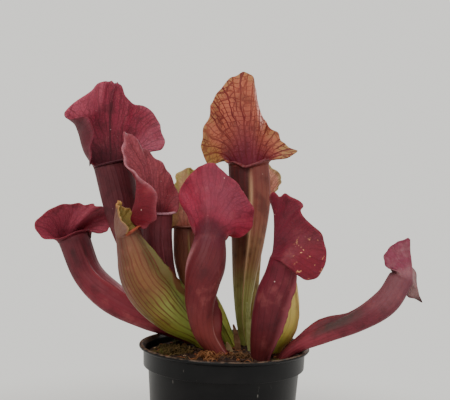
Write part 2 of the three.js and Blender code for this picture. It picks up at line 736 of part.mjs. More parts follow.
place("pot", fromSolid(potSolid()), 0x141416, 0.42);
place("growing_medium", fromSolid(soilSolid([rhizomeSolid(SOIL_HOLE_GAP), ...plugs])), 0x2c2119, 0.95);
place("rhizome", fromSolid(rhizomeSolid(0)), 0x6b4a30, 0.8);
PITCHERS.forEach((leaf, k) => place(leaf.name, pitcherGeometry(grids[k]), leaf.color, 0.45));
BLADES.forEach((blade) => place(blade.name, rowsGeometry(bladeRows(blade, 0)), blade.color, 0.6));

export default group;
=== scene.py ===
"""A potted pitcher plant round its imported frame: veined leaves, peat with moss and bark, a satin pot."""
import math

import bmesh
import bpy
import numpy as np
from mathutils import Matrix, Vector


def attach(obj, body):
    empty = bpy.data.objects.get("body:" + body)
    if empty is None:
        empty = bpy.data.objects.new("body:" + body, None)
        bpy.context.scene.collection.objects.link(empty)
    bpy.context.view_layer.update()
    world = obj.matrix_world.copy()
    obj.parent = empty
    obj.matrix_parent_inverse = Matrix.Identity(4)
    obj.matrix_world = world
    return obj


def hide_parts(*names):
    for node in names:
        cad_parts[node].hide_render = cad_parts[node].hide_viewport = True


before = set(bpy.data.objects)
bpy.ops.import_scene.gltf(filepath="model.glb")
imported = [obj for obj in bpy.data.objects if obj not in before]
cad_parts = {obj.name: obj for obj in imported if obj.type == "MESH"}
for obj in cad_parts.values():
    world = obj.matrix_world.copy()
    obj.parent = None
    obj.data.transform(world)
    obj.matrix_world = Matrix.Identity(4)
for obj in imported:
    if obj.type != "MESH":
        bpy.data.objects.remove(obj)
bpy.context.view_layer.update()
MM = 0.001

# ---- the plant's own dimensions, in millimetres --------------------------------------------------
# As in the solids.
COLUMNS, TUBE_ROWS, HOOD_ROWS = 22, 8, 5
MARGIN_POINTS, LIP_POINTS = 14, {0: 0, 1: 1, 13: 1, 2: 2, 12: 2}
RELAX_STEPS = 5
THICK = 0.8

# The finer sheets.
FINE_COLUMNS, FINE_TUBE, FINE_HOOD = 176, 84, 44
FOOT = 24  # the row of the tube where its hollow ends
WAVES = 7  # ruffles round a hood
VEINS = 14  # main veins round a leaf
SHORT_HOOD, LONG_HOOD = 6, 24  # how far a margin lies from the mouth where it is smooth and fully ruffled
KEEL = 2.2  # half the wing's width, in columns
SKIN, FLUTE = 0.12, 0.05  # how far the tube's skin is drawn in, and the depth of its flutes
RIM_THICK, RIM_OUT = THICK - 0.1, 0.32  # the margin's thickness, and how far its rounding stands out

# Each pitcher: the points of its spine, which way its back faces, half its width and depth and the
# height of its wing from foot to mouth, the dip of the mouth, the lip, ruffles (depth and phase),
# scallops and frills of the margin, the hood's margin, bends of its middle, and pushes of the hood:
# where round it, how wide, how steep, and by how much.
USUAL = dict(dip=0.5, lip=[[1.5, 0.5], [1.5, 0.5], [1.5, 1]], bend={}, push=[], scallop=1, frill=0.9)
PITCHERS = {
    "pitcher_tall_left": dict(USUAL,
        spine=[[-1.5, 12.5, 70], [-10.5, 14.5, 82.5], [-30.5, 17, 100.5], [-47.2, 19, 120.5],
            [-56.9, 21, 142], [-65, 22, 174]],
        back=[[-0.6, 0.8, 0], [-0.25, 0.97, 0]], wide=[2.6, 4, 6, 8, 10, 11],
        deep=[2.6, 4, 6, 7.4, 8.4, 9.5], wing=[0.3, 1, 2, 1.2, 0.5, 0], dip=1, ruffle=[1.3, 0.5],
        scallop=0.35, frill=0.9,
        hood=[[-77, 14, 171.5], [-73.5, 2, 192], [-90, 10, 200.5], [-74, 28, 220.5], [-69, 36, 220],
            [-65, 38, 222], [-56, 34, 210], [-39.5, 28, 199.5], [-37.5, 20, 183]],
        bend={4: [-83, 15, 187.5], 5: [-85.5, 22, 193]},
        push=[(0.357, 0.03, 2, -4, -2, -2.8), (0.3, 0.035, 2, 4.2, -2, 4), (0.25, 0.03, 1.5, -1.2, -1, 0),
            (0.79, 0.035, 2, 4.6, 0, -2), (0.665, 0.012, 3, 0.2, 0, 0.9), (0.69, 0.02, 2.5, 1.4, 0, 0.3),
            (0.64, 0.015, 3, 0, 0, -0.8), (0.62, 0.03, 2.5, -1.2, 0, -1.2), (0.481, 0.011, 3, 1.8, 0, 1.6),
            (0.527, 0.014, 3, 0.4, 0, -0.7), (0.44, 0.02, 3, 0, 0, 0.5), (0.3, 0.06, 0, -2.6, 0, -1),
            (0, 0.1, 0.6, 0, 0, 0.6), (0.2, 0.01, 2.5, -0.8, 0, -3.4)]),
    "pitcher_far_left": dict(USUAL,
        spine=[[-9, 16.5, 70], [-21, 20, 79.5], [-44, 24, 88.5], [-64.3, 29, 98.5], [-79.2, 33, 111.5],
            [-88.3, 35, 131.5]],
        back=[[-0.3, 0.3, -0.9], [-0.5, 0.85, 0]], wide=[2.6, 4.2, 7, 9, 8.8, 9.2],
        deep=[2.6, 4, 6.4, 8.2, 7.6, 8.5], wing=[0.6, 1.5, 2, 3, 1.2, 0], ruffle=[0.5, 0.2], scallop=0.6,
        frill=0.4,
        hood=[[-105.5, 26, 131], [-108.5, 26, 139.5], [-98, 32, 149.5], [-83.5, 38, 153], [-74, 36, 151],
            [-71.5, 46, 150], [-68.5, 50, 143.5], [-70.5, 48, 135.5], [-76, 42, 132]],
        bend={7: [-81.5, 29, 142.5]},
        push=[(0, 0.09, 0.6, -1, 1, 1), (0.93, 0.05, 1, 1, 0, 0), (0.5, 0.04, 2.5, 0, 0, -1),
            (0.43, 0.04, 2.5, 0, 0, -1.8), (0.357, 0.02, 2.5, 0, 0, 1), (0.27, 0.04, 2, -2, 0, 0),
            (0.2, 0.03, 2, -1, 0, -1.2), (0.885, 0.011, 2, 0.2, -1, -4.2)]),
    "pitcher_olive_front": dict(USUAL,
        spine=[[-3, 0, 70], [-13, -0.5, 82.5], [-28.5, -6, 96], [-42, -11, 112.5], [-47.7, -14, 127.5],
            [-51, -15, 137]],
        back=[[-0.75, -0.2, -0.6], [-0.95, 0.25, 0]], wide=[2.8, 4.8, 8.5, 11.2, 11.3, 6.8],
        deep=[2.8, 4.8, 9, 11.5, 10.2, 6.2], wing=[0.8, 2.5, 4.5, 5, 3.6, 0], dip=0,
        lip=[[1.5, 2.5], [1.2, 1.5], [1, 1]], ruffle=[0.3, 0],
        hood=[[-51.5, -22, 137.5], [-54, -23, 140.5], [-55, -21, 145.5], [-56, -18, 150.5],
            [-56.5, -14, 154], [-55, -10, 151], [-50.5, -7, 149.5], [-48.5, -7, 145.5], [-48.5, -8, 140.5]],
        bend={6: [-58, -20, 143.5], 7: [-59, -15, 143.5], 8: [-58.5, -10, 144]},
        push=[(0.27, 0.07, 1.6, 3.6, -2, 1), (0.5, 0.02, 3, -0.4, 0, 0.8)]),
    "pitcher_mid_left": dict(USUAL,
        spine=[[3.5, 4.5, 70], [-9.5, 6.5, 85], [-26.5, 6.5, 100], [-34, 5, 116], [-37.1, 4, 133],
            [-37.2, 3, 148]],
        back=[[-0.6, 0.8, 0], [-0.35, 0.94, 0]], wide=[2.5, 3.8, 5.2, 6.8, 7.9, 7.7],
        deep=[2.5, 3.8, 4.6, 5.4, 6, 7.4], wing=[0.6, 2, 3, 2.5, 2, 0], ruffle=[1.3, 1.5],
        hood=[[-43.5, -7.5, 143.5], [-38.5, -12.5, 153], [-47, -9, 165], [-53.5, -6, 175.5],
            [-54.5, -2, 189.5], [-44.5, 8, 181.5], [-34.5, 12, 172], [-27, 9.5, 158.5],
            [-26.5, 7.5, 147.5]],
        bend={4: [-48.5, -4, 152], 5: [-50.5, 0, 160]},
        push=[(0.5, 0.05, 2, -3, 0, 1.6), (0.42, 0.03, 2, -1.4, 0, 0), (0.315, 0.035, 1.6, 4.4, -3, 0.5),
            (0.265, 0.035, 1.4, 2.8, -5, -4.5), (0.205, 0.04, 1.2, -1.5, -6, -6.5),
            (0.24, 0.06, 0, -6.6, -1.5, -1.5), (0.33, 0.05, 0, -2.5, 0, 0)]),
    "pitcher_olive_back": dict(USUAL,
        spine=[[8, 11.5, 70], [-2.5, 14, 89], [-14.5, 16, 105.5], [-20.3, 17, 121], [-21.6, 17.5, 131.5],
            [-22, 18, 140]],
        back=[[-0.3, 0.95, 0], [-0.1, 1, 0]], wide=[2.5, 3.8, 6.4, 7.8, 8.3, 8],
        deep=[2.5, 3.6, 5, 6, 6.6, 7], wing=[0.6, 2, 3, 2.5, 2, 0], ruffle=[0.9, 0.9],
        hood=[[-31, 12, 137.5], [-32, 10.5, 142.5], [-31, 14, 155.5], [-31, 22, 166.5], [-24.5, 28, 173.5],
            [-18, 30, 172], [-12, 28, 166], [-8, 22, 156], [-11, 16, 141.5]],
        push=[(0.22, 0.03, 1, -1.4, -0.5, -2), (0.43, 0.03, 2, 0, 0, -1)]),
    "pitcher_front": dict(USUAL,
        spine=[[3.4, -7, 70], [-5.6, -12.3, 80.5], [-11, -17, 90], [-13, -19, 103], [-12, -18, 115.5],
            [-10, -15.5, 127], [-9, -12.5, 136.5]],
        back=[[-1, -0.15, 0], [-0.85, -0.5, 0], [0, -1, 0]], wide=[2.8, 4.3, 5.9, 8, 10.2, 8.2],
        deep=[2.8, 4.3, 5.9, 8, 9.2, 7.5], wing=[0.4, 1.8, 6.2, 2.5, 1, 0], ruffle=[0.3, 0.3], scallop=0.25,
        frill=0.3,
        hood=[[-1, -6, 137.5], [9, -8, 136.5], [13, -4, 149], [7, -4, 162], [-2, -8, 170],
            [-10.5, -12, 175], [-19, -8, 170], [-25.5, -4, 158.5], [-18.5, -6, 141]],
        push=[(0.714, 0.04, 2, -2.4, 0, 1), (0.36, 0.05, 2, 1.2, 0, 0), (0.55, 0.02, 3, 0.8, 0, 1.2),
            (0.19, 0.02, 2, 0.6, 0, 2.2), (0.62, 0.02, 3, -0.3, 0, 0.8)]),
    "pitcher_right": dict(USUAL,
        spine=[[17.5, -14.5, 70], [18.5, -16, 84], [20.5, -18, 97.5], [23, -20, 109], [26.5, -21, 118],
            [28.5, -21, 126.5]],
        back=[[-0.9, 0.3, 0], [-0.85, 0.5, 0]], wide=[3.2, 5, 6.6, 7.2, 7.6, 7.4],
        deep=[3.2, 5.2, 6.8, 7.8, 8.2, 7.6], wing=[0.8, 2, 3.5, 3.5, 2.5, 0], ruffle=[0.5, 0.3],
        scallop=0.25, frill=0.35,
        hood=[[34.5, -34.5, 121], [45, -35, 124], [47.5, -33, 137], [39, -28, 148], [35, -24, 157],
            [23, -16, 162], [21, -8, 156], [28, -4, 145.5], [35, -6, 131.5]],
        bend={3: [25, -33, 127], 4: [30, -34.5, 131], 5: [32, -32, 136.5], 7: [24, -22, 144.5],
            8: [22, -16, 144]},
        push=[(0.235, 0.06, 1.8, 1, 0, -4), (0.3, 0.04, 2, 0.8, 0, -0.4), (0.393, 0.03, 2.5, 1.2, 0, 0),
            (0.43, 0.03, 2, -0.8, 0, -0.9), (0.464, 0.022, 3, -1.2, 0, -0.8),
            (0.49, 0.014, 3, 1.4, 0, -0.4), (0.56, 0.01, 3, 0, 0, -2.4)]),
    "pitcher_short": dict(USUAL,
        spine=[[22.5, 1.5, 70], [25, -1, 83], [29.5, -1, 93], [31.5, 0, 102], [32, 1, 110.5],
            [31.5, 2, 118]],
        back=[[-0.9, 0.3, 0], [-0.6, 0.8, 0]], wide=[2.8, 5, 8, 8.3, 6.6, 5], deep=[2.8, 5, 8, 8.3, 6.6, 5],
        wing=[0.8, 2, 2.5, 2, 1, 0], lip=[[1.2, 0.5], [1.2, 0.5], [1.2, 1]], ruffle=[0.3, 0.3],
        hood=[[26, 0, 119], [25.2, 2, 123.5], [26.5, 5, 129.5], [29, 8, 134.5], [33, 9.5, 138],
            [37, 10, 134.5], [39.5, 9.5, 129.5], [39.8, 8, 123.5], [37.5, 6, 119]]),
    "pitcher_tall_back": dict(USUAL,
        spine=[[14, 13.5, 70], [10, 16.5, 90.5], [10, 20, 112], [11.5, 23, 134], [12, 25, 156.5],
            [10.5, 26, 178.5]],
        back=[[0.1, 1, 0], [-0.05, 1, 0]], wide=[3, 4, 6.6, 9.4, 11.6, 11.5], deep=[3, 4, 6, 8.6, 10, 10],
        wing=[0.8, 2, 2.5, 2.5, 2, 0], dip=4.5, lip=[[1.5, 0.6], [1.4, 1], [1.5, 1.8]], ruffle=[1.2, 0.3],
        hood=[[-7, 18, 176], [-15.5, 12, 179.5], [-14.5, 18, 196.5], [-10, 32, 215], [4, 42, 231],
            [14, 42, 224], [19.5, 36, 202], [27, 30, 192], [36.5, 24, 182.5]],
        push=[(0.243, 0.035, 2, -1, -1, -2.6), (0.17, 0.02, 2, 0, 0, 2.4), (0.786, 0.028, 2, 6.6, -2, 0.4),
            (0.822, 0.02, 2, 2.4, 0, -1), (0.607, 0.03, 2, -1.8, 1, 0), (0.69, 0.025, 2, 1.2, 0, 0.8),
            (0, 0.03, 0.4, -1, -0.8, -1.6), (0, 0.07, 0.4, -2, 0, 0.4), (0.09, 0.035, 0.5, 0, 0, 1),
            (0.91, 0.035, 0.5, 0, 0, 1.6), (0.5, 0.015, 3, 0, 0, -1), (0.54, 0.02, 2.5, 1.2, 0, 0.6)]),
    "pitcher_small_back": dict(USUAL,
        spine=[[17.5, 21, 70], [14.5, 26, 89], [15, 33, 108], [15.5, 38, 127.5], [16.5, 40, 142],
            [17, 42, 153.5]],
        back=[[0.3, 1, 0], [0.3, 0.95, 0]], wide=[2.5, 3, 3.8, 4.6, 5.2, 5.6],
        deep=[2.5, 3, 3.8, 4.6, 5.2, 5.6], wing=[0.6, 2, 2, 1.5, 1, 0],
        lip=[[1.2, 0.6], [1.2, 1.2], [1.5, 1.5]], ruffle=[0.5, 0.3],
        hood=[[11, 43.5, 155], [9, 43.5, 159], [9.5, 45, 165.5], [12, 47, 173], [17, 48, 177.5],
            [24, 48, 177], [31.5, 46, 169.5], [29, 44, 163.5], [23.5, 41.5, 157.5]]),
    "pitcher_far_right": dict(USUAL,
        spine=[[26, -8, 70], [36, -13, 81.5], [51, -17, 90], [66.5, -20, 97.5], [80.2, -20.6, 107.4],
            [87.9, -19.8, 119.8]],
        back=[[0.3, -0.3, -0.9], [0.7, -0.6, -0.5]], wide=[2.6, 3.2, 4.4, 5, 5.8, 5.4],
        deep=[2.6, 3.2, 4.4, 5.2, 6.5, 6.5], wing=[0.6, 0.8, 4, 1.2, 0.8, 0],
        lip=[[1.2, 0.6], [1.2, 1.2], [1.5, 1.5]], ruffle=[0.4, 0.3], scallop=0.5,
        hood=[[91, -15, 111.5], [99.5, -17, 109], [99, -19, 120], [94, -20, 127.5], [91.5, -21, 133.5],
            [92, -22, 139.5], [85.5, -23, 138], [80.5, -24, 131], [83, -26, 126]],
        push=[(0.714, 0.05, 1.5, -3.2, 0, -0.6), (0.77, 0.035, 1.5, -1.4, 0, -2.2),
            (0.64, 0.03, 2, -1, 0, 0.6), (0, 0.06, 0.5, 1.6, 0, -0.6), (0.545, 0.02, 2.5, -2.2, 0, 0),
            (0.48, 0.045, 2, -4.2, 0, 0), (0.43, 0.04, 2, -1.8, 0, 0), (0.34, 0.045, 2, -3.2, 0, 0.5),
            (0.272, 0.014, 2.5, 2.4, 0, -2.4), (0.2, 0.05, 1.2, 0, 0, -3)]),
}


# ---- curves ---------------------------------------------------------------------------------------
def unit(v):
    return v / np.maximum(np.linalg.norm(v, axis=-1, keepdims=True), 1e-9)


def cubic(a, b, c, d, t):
    """A curve from b to c that a and d lead in and out of, t over 0 to 1."""
    start, end = (c - a) * 0.5, (d - b) * 0.5
    third = 2 * b - 2 * c + start + end
    second = -3 * b + 3 * c - 2 * start - end
    return third * t ** 3 + second * t ** 2 + start * t + b


def through(points, t):
    """Points of an open curve through all the points, t over 0 to 1."""
    points = np.asarray(points, float)
    span = np.clip(np.asarray(t, float), 0, 1) * (len(points) - 1)
    i = np.minimum(span.astype(int), len(points) - 2)
    w = (span - i).reshape(span.shape + (1,) * (points.ndim - 1))
    ends = np.concatenate([[2 * points[0] - points[1]], points, [2 * points[-1] - points[-2]]])
    return cubic(ends[i], ends[i + 1], ends[i + 2], ends[i + 3], w)


def round_through(points, u):
    """Points of a closed curve through all the points, u over 0 to 1."""
    points = np.asarray(points, float)
    n = len(points)
    span = np.asarray(u, float) * n
    i = np.floor(span).astype(int)
    w = (span - i).reshape(span.shape + (1,) * (points.ndim - 1))
    return cubic(points[(i - 1) % n], points[i % n], points[(i + 1) % n], points[(i + 2) % n], w)


def round_gap(a, b):
    """How far apart two places round a leaf are, 0 to 0.5."""
    return np.abs((a - b + 0.5) % 1 - 0.5)


def frames_along(spine, backs, s):
    """Centre, tangent, back and side of a spine at the distances s, 0 to 1, and its length."""
    fine = through(spine, np.linspace(0, 1, 300))
    length = np.concatenate([[0], np.cumsum(np.linalg.norm(np.diff(fine, axis=0), axis=1))])

    def at(q):
        goal = np.clip(q, 0, 1) * length[-1]
        return np.stack([np.interp(goal, length, fine[:, k]) for k in range(3)], -1)

    tangent = unit(at(s + 0.01) - at(s - 0.01))
    dirs = unit(np.asarray(backs, float))
    back = through(dirs, s) if len(dirs) > 2 else dirs[0] * (1 - s[:, None]) + dirs[-1] * s[:, None]
    back = unit(back - (back * tangent).sum(-1, keepdims=True) * tangent)
    return at(s), tangent, back, np.cross(back, tangent), length[-1]


LONG_WAVES = dict(waves=range(3, 24), fall=0.8, size=1.6)
SCALLOPS = dict(waves=range(9, 27), fall=0, size=4.2)


def wobble(x, seed, waves, fall, size):
    """A smooth repeating wobble of x over 0 to 1, about -1 to 1."""
    rng = np.random.default_rng(seed)
    total = np.zeros_like(x)
    for k in waves:
        total += rng.normal() / k ** fall * np.sin(2 * np.pi * k * x + rng.uniform(0, 2 * np.pi))
    return total / size


# ---- meshes ---------------------------------------------------------------------------------------
def grid_faces(rows, columns, fans=False):
    """Faces of rows that close round on themselves, with flat ends, or fans to two points after them."""
    index = np.arange(rows * columns).reshape(rows, columns)
    ahead = np.roll(index, -1, axis=1)
    corners = index[:-1], ahead[:-1], ahead[1:], index[1:]
    if not fans:
        ends = [index[0, ::-1].tolist(), index[-1].tolist()]
        return np.stack(corners, -1).reshape(-1, 4).tolist() + ends
    faces = np.stack([corners[k] for k in (0, 3, 2, 1)], -1).reshape(-1, 4).tolist()
    middle = rows * columns
    faces += [(middle, a, b) for a, b in zip(index[0].tolist(), ahead[0].tolist())]
    return faces + [(middle + 1, b, a) for a, b in zip(index[-1].tolist(), ahead[-1].tolist())]


def link(name, data):
    ob = bpy.data.objects.new(name, data)
    bpy.context.scene.collection.objects.link(ob)
    return ob


def add_mesh(name, points, faces, smooth=True):
    mesh = bpy.data.meshes.new(name)
    mesh.from_pydata((np.asarray(points) * MM).tolist(), [], faces)
    mesh.validate()
    mesh.update()
    if smooth:
        mesh.polygons.foreach_set("use_smooth", [True] * len(mesh.polygons))
    return link(name, mesh)


def pile(points, faces, corners, own):
    """Add a small piece's corners and faces to a heap of them."""
    faces.extend([[len(points) + i for i in face] for face in own])
    points.extend(corners)


def set_attribute(ob, name, values):
    values = np.asarray(values, float)
    kind, field = ("FLOAT", "value") if values.ndim == 1 else ("FLOAT_VECTOR", "vector")
    ob.data.attributes.new(name, kind, "POINT").data.foreach_set(field, values.ravel())


# ---- a pitcher's sheet ----------------------------------------------------------------------------
def ring_angle(u):
    return 2 * np.pi * u + 0.5 * np.sin(2 * np.pi * u)


def tube_rings(leaf, s, angle, inset=0.0):
    """Rings of points round the tube at the distances s, and how the spine lies there."""
    centre, tangent, back, side, length = frames_along(leaf["spine"], leaf["back"], s)
    half = np.maximum(through(leaf["wide"], s) - inset, 0.2)[:, None, None]
    deep = np.maximum(through(leaf["deep"], s) - inset, 0.2)[:, None, None]
    drop = (leaf["dip"] * s ** 6)[:, None, None] * ((1 + np.cos(angle)) / 2)[None, :, None]
    sine, cosine = np.sin(angle)[None, :, None], np.cos(angle)[None, :, None]
    rings = centre[:, None] - side[:, None] * half * sine - back[:, None] * deep * cosine
    return rings - tangent[:, None] * drop, dict(tangent=tangent, back=back, side=side, length=length)


def margin_points(leaf):
    """The margin of lip and hood, the middle of the way to it, and which way the mouth faces."""
    angle = ring_angle(np.arange(MARGIN_POINTS) / MARGIN_POINTS)
    rings, at = tube_rings(leaf, np.array([0.5, 1.0]), angle)
    start, up = rings[-1], at["tangent"][-1]
    away = unit(-at["side"][-1] * np.sin(angle)[:, None] - at["back"][-1] * np.cos(angle)[:, None])
    edge, middle = np.zeros((MARGIN_POINTS, 3)), np.zeros((MARGIN_POINTS, 3))
    for k in range(MARGIN_POINTS):
        if k in LIP_POINTS:
            out, rise = leaf["lip"][LIP_POINTS[k]]
            edge[k] = start[k] + away[k] * out + up * rise
            middle[k] = start[k] + away[k] * 0.35 * out + up * (max(rise, 0) + 0.35 * out)
            continue
        edge[k] = leaf["hood"][k - 3]
        reach = edge[k] - start[k]
        arched = (start[k] + edge[k]) / 2 + (up * np.linalg.norm(reach) * 1.1 - reach * 0.9) / 8
        middle[k] = leaf["bend"].get(k, arched)
    return edge, middle, up


def coarse_hood(leaf):
    """The hood's rows from the mouth to the margin, evened out as in the solids."""
    u = np.arange(COLUMNS) / COLUMNS
    rings, _ = tube_rings(leaf, np.linspace(0, 1, TUBE_ROWS), ring_angle(u))
    edge, middle, up = margin_points(leaf)
    edge, middle, start = round_through(edge, u), round_through(middle, u), rings[-1]
    before = start - up * np.linalg.norm(middle - start, axis=1, keepdims=True)
    ray = np.stack([before, start, middle, edge, 2 * edge - middle])
    rows = [start]
    for k in range(1, HOOD_ROWS + 1):
        span = 2 * k / HOOD_ROWS
        i = min(int(span), 1)
        rows.append(cubic(ray[i], ray[i + 1], ray[i + 2], ray[i + 3], span - i))
    rows = np.array(rows)
    # The margin is drawn in most where the lip turns into the hood.
    pull = (0.05 + 0.33 * np.exp(-((np.minimum(u, 1 - u) - 0.17) / 0.08) ** 2))[:, None]
    for _ in range(RELAX_STEPS):
        beside = np.roll(rows, 1, axis=1) + np.roll(rows, -1, axis=1)
        new = rows.copy()
        new[1:-1] = rows[1:-1] * 0.5 + (beside[1:-1] + rows[:-2] + rows[2:]) * 0.125
        new[-1] = rows[-1] * (1 - pull) + beside[-1] * pull / 2
        rows = new
    return rows, up


def sheet_normals(grid):
    right = np.roll(grid, -1, axis=1) - np.roll(grid, 1, axis=1)
    up = np.gradient(grid, axis=0)
    return unit(np.cross(up, right))


def fine_hood(leaf, mouth, u):
    """The hood's rows on the finer grid, which start from the tube's mouth."""
    coarse, up = coarse_hood(leaf)
    step = np.linalg.norm(coarse[1] - coarse[0], axis=1, keepdims=True)
    rows = np.concatenate([[coarse[0] - up * step], coarse, [2 * coarse[-1] - coarse[-2]]])
    hood = []
    for q in np.linspace(0, HOOD_ROWS, FINE_HOOD + 1)[1:]:
        i = min(int(q), HOOD_ROWS - 1)
        hood.append(cubic(rows[i], rows[i + 1], rows[i + 2], rows[i + 3], q - i))
    hood = np.array([round_through(row, u) for row in hood])
    fade = (1 - np.linspace(0, 1, FINE_HOOD + 1)[1:])[:, None, None] ** 2
    return hood + (mouth - round_through(coarse[0], u)) * fade


def evened(values, steps):
    """Values or directions smoothed round the leaf."""
    for _ in range(steps):
        values = np.roll(values, 1, axis=1) + 2 * values + np.roll(values, -1, axis=1)
        values = unit(values) if values.ndim == 3 else values / 4
    return values


def fine_sheet(name, leaf):
    """Outer and inner grids of a pitcher, with where each point is on the leaf."""
    seed = sum(ord(c) for c in name)
    u = np.arange(FINE_COLUMNS) / FINE_COLUMNS
    s = np.linspace(0, 1, FINE_TUBE)
    q = (np.arange(1, FINE_HOOD + 1) / FINE_HOOD)[:, None]
    angle = ring_angle(u)
    tube, at = tube_rings(leaf, s, angle)
    lining, _ = tube_rings(leaf, s, angle, THICK)
    hood = fine_hood(leaf, tube[-1], u)
    reach = np.linalg.norm(np.diff(np.concatenate([tube[-1:], hood]), axis=0), axis=2).cumsum(axis=0)
    grid = np.concatenate([tube, hood])

    for where, width, power, *move in leaf["push"]:
        grow = q ** power if power else 4 * q * (1 - q)
        near = np.exp(-(round_gap(u, where) / width) ** 2)[None]
        grid[FINE_TUBE:] += (near * grow)[..., None] * np.array(move, float)

    # Scallops, ruffles and frills grow towards the margin, and more where the hood is long.
    out = sheet_normals(grid)
    growth = unit(grid[-1] - grid[-5])[None]
    far = np.clip((reach[-1] - SHORT_HOOD) / (LONG_HOOD - SHORT_HOOD), 0, 1)[None]
    notch = leaf["scallop"] * far * wobble(u, seed + 9, **SCALLOPS)[None] * q ** 3
    grid[FINE_TUBE:] += growth * notch[..., None]
    depth, phase = leaf["ruffle"]
    wave = depth * far * np.sin(2 * np.pi * WAVES * u + phase)[None] * q ** 2
    frill = leaf["frill"] * far * wobble(u, seed, **SCALLOPS)[None] * np.clip((q - 0.5) / 0.5, 0, 1) ** 1.6
    grid[FINE_TUBE:] += out[FINE_TUBE:] * (wave + frill)[..., None]

    # The wing is a thin keel down the front of the tube.
    keel = np.clip(1 - np.minimum(u, 1 - u) * FINE_COLUMNS / KEEL, 0, 1) ** 0.7
    height = np.maximum(through(leaf["wing"], s), 0) * (1 + 0.12 * wobble(s * 0.9, seed + 5, **LONG_WAVES))
    grid[:FINE_TUBE] -= at["back"][:, None] * (height[:, None] * keel[None])[..., None]

    # Shallow flutes along the tube, between its main veins.
    ends = np.clip(s / 0.15, 0, 1)[:, None], np.clip((1 - s) / 0.1, 0, 1)[:, None]
    flute = FLUTE * np.cos(VEINS * angle)[None] * ends[0] * ends[1]
    grid[:FINE_TUBE] -= sheet_normals(grid)[:FINE_TUBE] * (SKIN + flute)[..., None]

    out = sheet_normals(grid)
    inner = np.concatenate([lining, grid[FINE_TUBE:] - evened(out[FINE_TUBE:], 10) * RIM_THICK])

    # Where each point is: how far up, how far from the margin, how far round, and how much the
    # veins have spread there, in millimetres for each radian.
    along = np.repeat(s[:, None], FINE_COLUMNS, 1)
    run = np.concatenate([np.repeat((s * at["length"])[:, None], FINE_COLUMNS, 1), at["length"] + reach])
    left = np.concatenate([np.full((FINE_TUBE, FINE_COLUMNS), 99.0), reach[-1][None] - reach])
    level = np.concatenate([along, 1 + np.repeat(q, FINE_COLUMNS, 1)])
    half = np.concatenate([through(leaf["wide"], s), np.full(FINE_HOOD, leaf["wide"][-1])])
    radius = half[:, None] + np.concatenate([np.zeros((FINE_TUBE, FINE_COLUMNS)), reach * 0.75])
    flow = np.stack([radius * np.cos(angle)[None], radius * np.sin(angle)[None], run], -1)
    turn = np.roll(angle, -1) - np.roll(angle, 1)
    turn[[0, -1]] += 2 * np.pi
    spread = np.linalg.norm(np.roll(grid, -1, axis=1) - np.roll(grid, 1, axis=1), axis=2) / turn
    spread[:FINE_TUBE] = half[:FINE_TUBE, None]
    spread = evened(spread, 12)
    wing = np.zeros(spread.shape)
    wing[:FINE_TUBE] = keel[None] * np.clip(height / 1.5, 0, 1)[:, None]
    return dict(outer=grid, inner=inner, normal=out, angle=angle, level=level, left=left, flow=flow,
                spread=spread, wing=wing, around=np.repeat(u[None], len(spread), 0))


def build_pitcher(name, leaf):
    """One leaf as a closed sheet, with values at its points that its material reads."""
    sheet = fine_sheet(name, leaf)
    outer, inner = sheet["outer"], sheet["inner"]
    rows, columns = outer.shape[:2]
    rim = (outer[-1] + inner[-1]) / 2 + unit(outer[-1] - outer[-2]) * RIM_OUT
    grids = [outer, rim[None], inner[FOOT:][::-1], outer[0].mean(0), inner[FOOT].mean(0)]
    points = np.concatenate([grid.reshape(-1, 3) for grid in grids])
    total = rows + 1 + rows - FOOT
    ob = add_mesh(name + "_leaf", points, grid_faces(total, columns, fans=True))

    def everywhere(key):
        """A value of the sheet at all the points of the mesh."""
        grid = sheet[key]
        parts = [grid, grid[-1:], grid[FOOT:][::-1]]
        flat = np.concatenate([p.reshape(-1, *grid.shape[2:]) for p in parts])
        return np.concatenate([flat, [grid[0].mean(0), grid[FOOT].mean(0)]])

    level, left, around = everywhere("level"), everywhere("left"), everywhere("around")
    inside = np.repeat([0, 0.5, 1, 0, 1], [rows * columns, columns, (rows - FOOT) * columns, 1, 1])
    front = np.append(np.tile(np.cos(sheet["angle"]), total), [1, 1])
    side = np.append(np.tile(np.sin(sheet["angle"]), total), [0, 0])
    values = dict(level=level, left=left, inside=inside, front=front, side=side, flow=everywhere("flow"),
                  spread=everywhere("spread"), wing=everywhere("wing") * (1 - inside))
    for k, spot in enumerate(LOOKS[name]["spots"]):
        if "edge" in spot:
            along = np.clip(1.3 - left / spot["edge"], 0, 1)
        else:
            along = np.exp(-((level - spot["at"]) / spot["reach"]) ** 4)
        face = {"in": inside, "out": 1 - inside}.get(spot["face"], 1)
        values[f"spot{k}"] = np.exp(-(round_gap(around, spot["u"]) / spot["du"]) ** 4) * along * face
    for key, value in values.items():
        set_attribute(ob, key, value)
    return ob, sheet


# ---- materials ------------------------------------------------------------------------------------
def rgb(r, g, b):
    """A colour given as the eye sees it, 0 to 255, turned into light."""
    parts = [c / 255 for c in (r, g, b)]
    return tuple(p / 12.92 if p <= 0.04045 else ((p + 0.055) / 1.055) ** 2.4 for p in parts) + (1,)


# The colour sockets of a Mix node, whose names stand for several kinds of value.
MIX_A, MIX_B, MIX_RESULT = 6, 7, 2


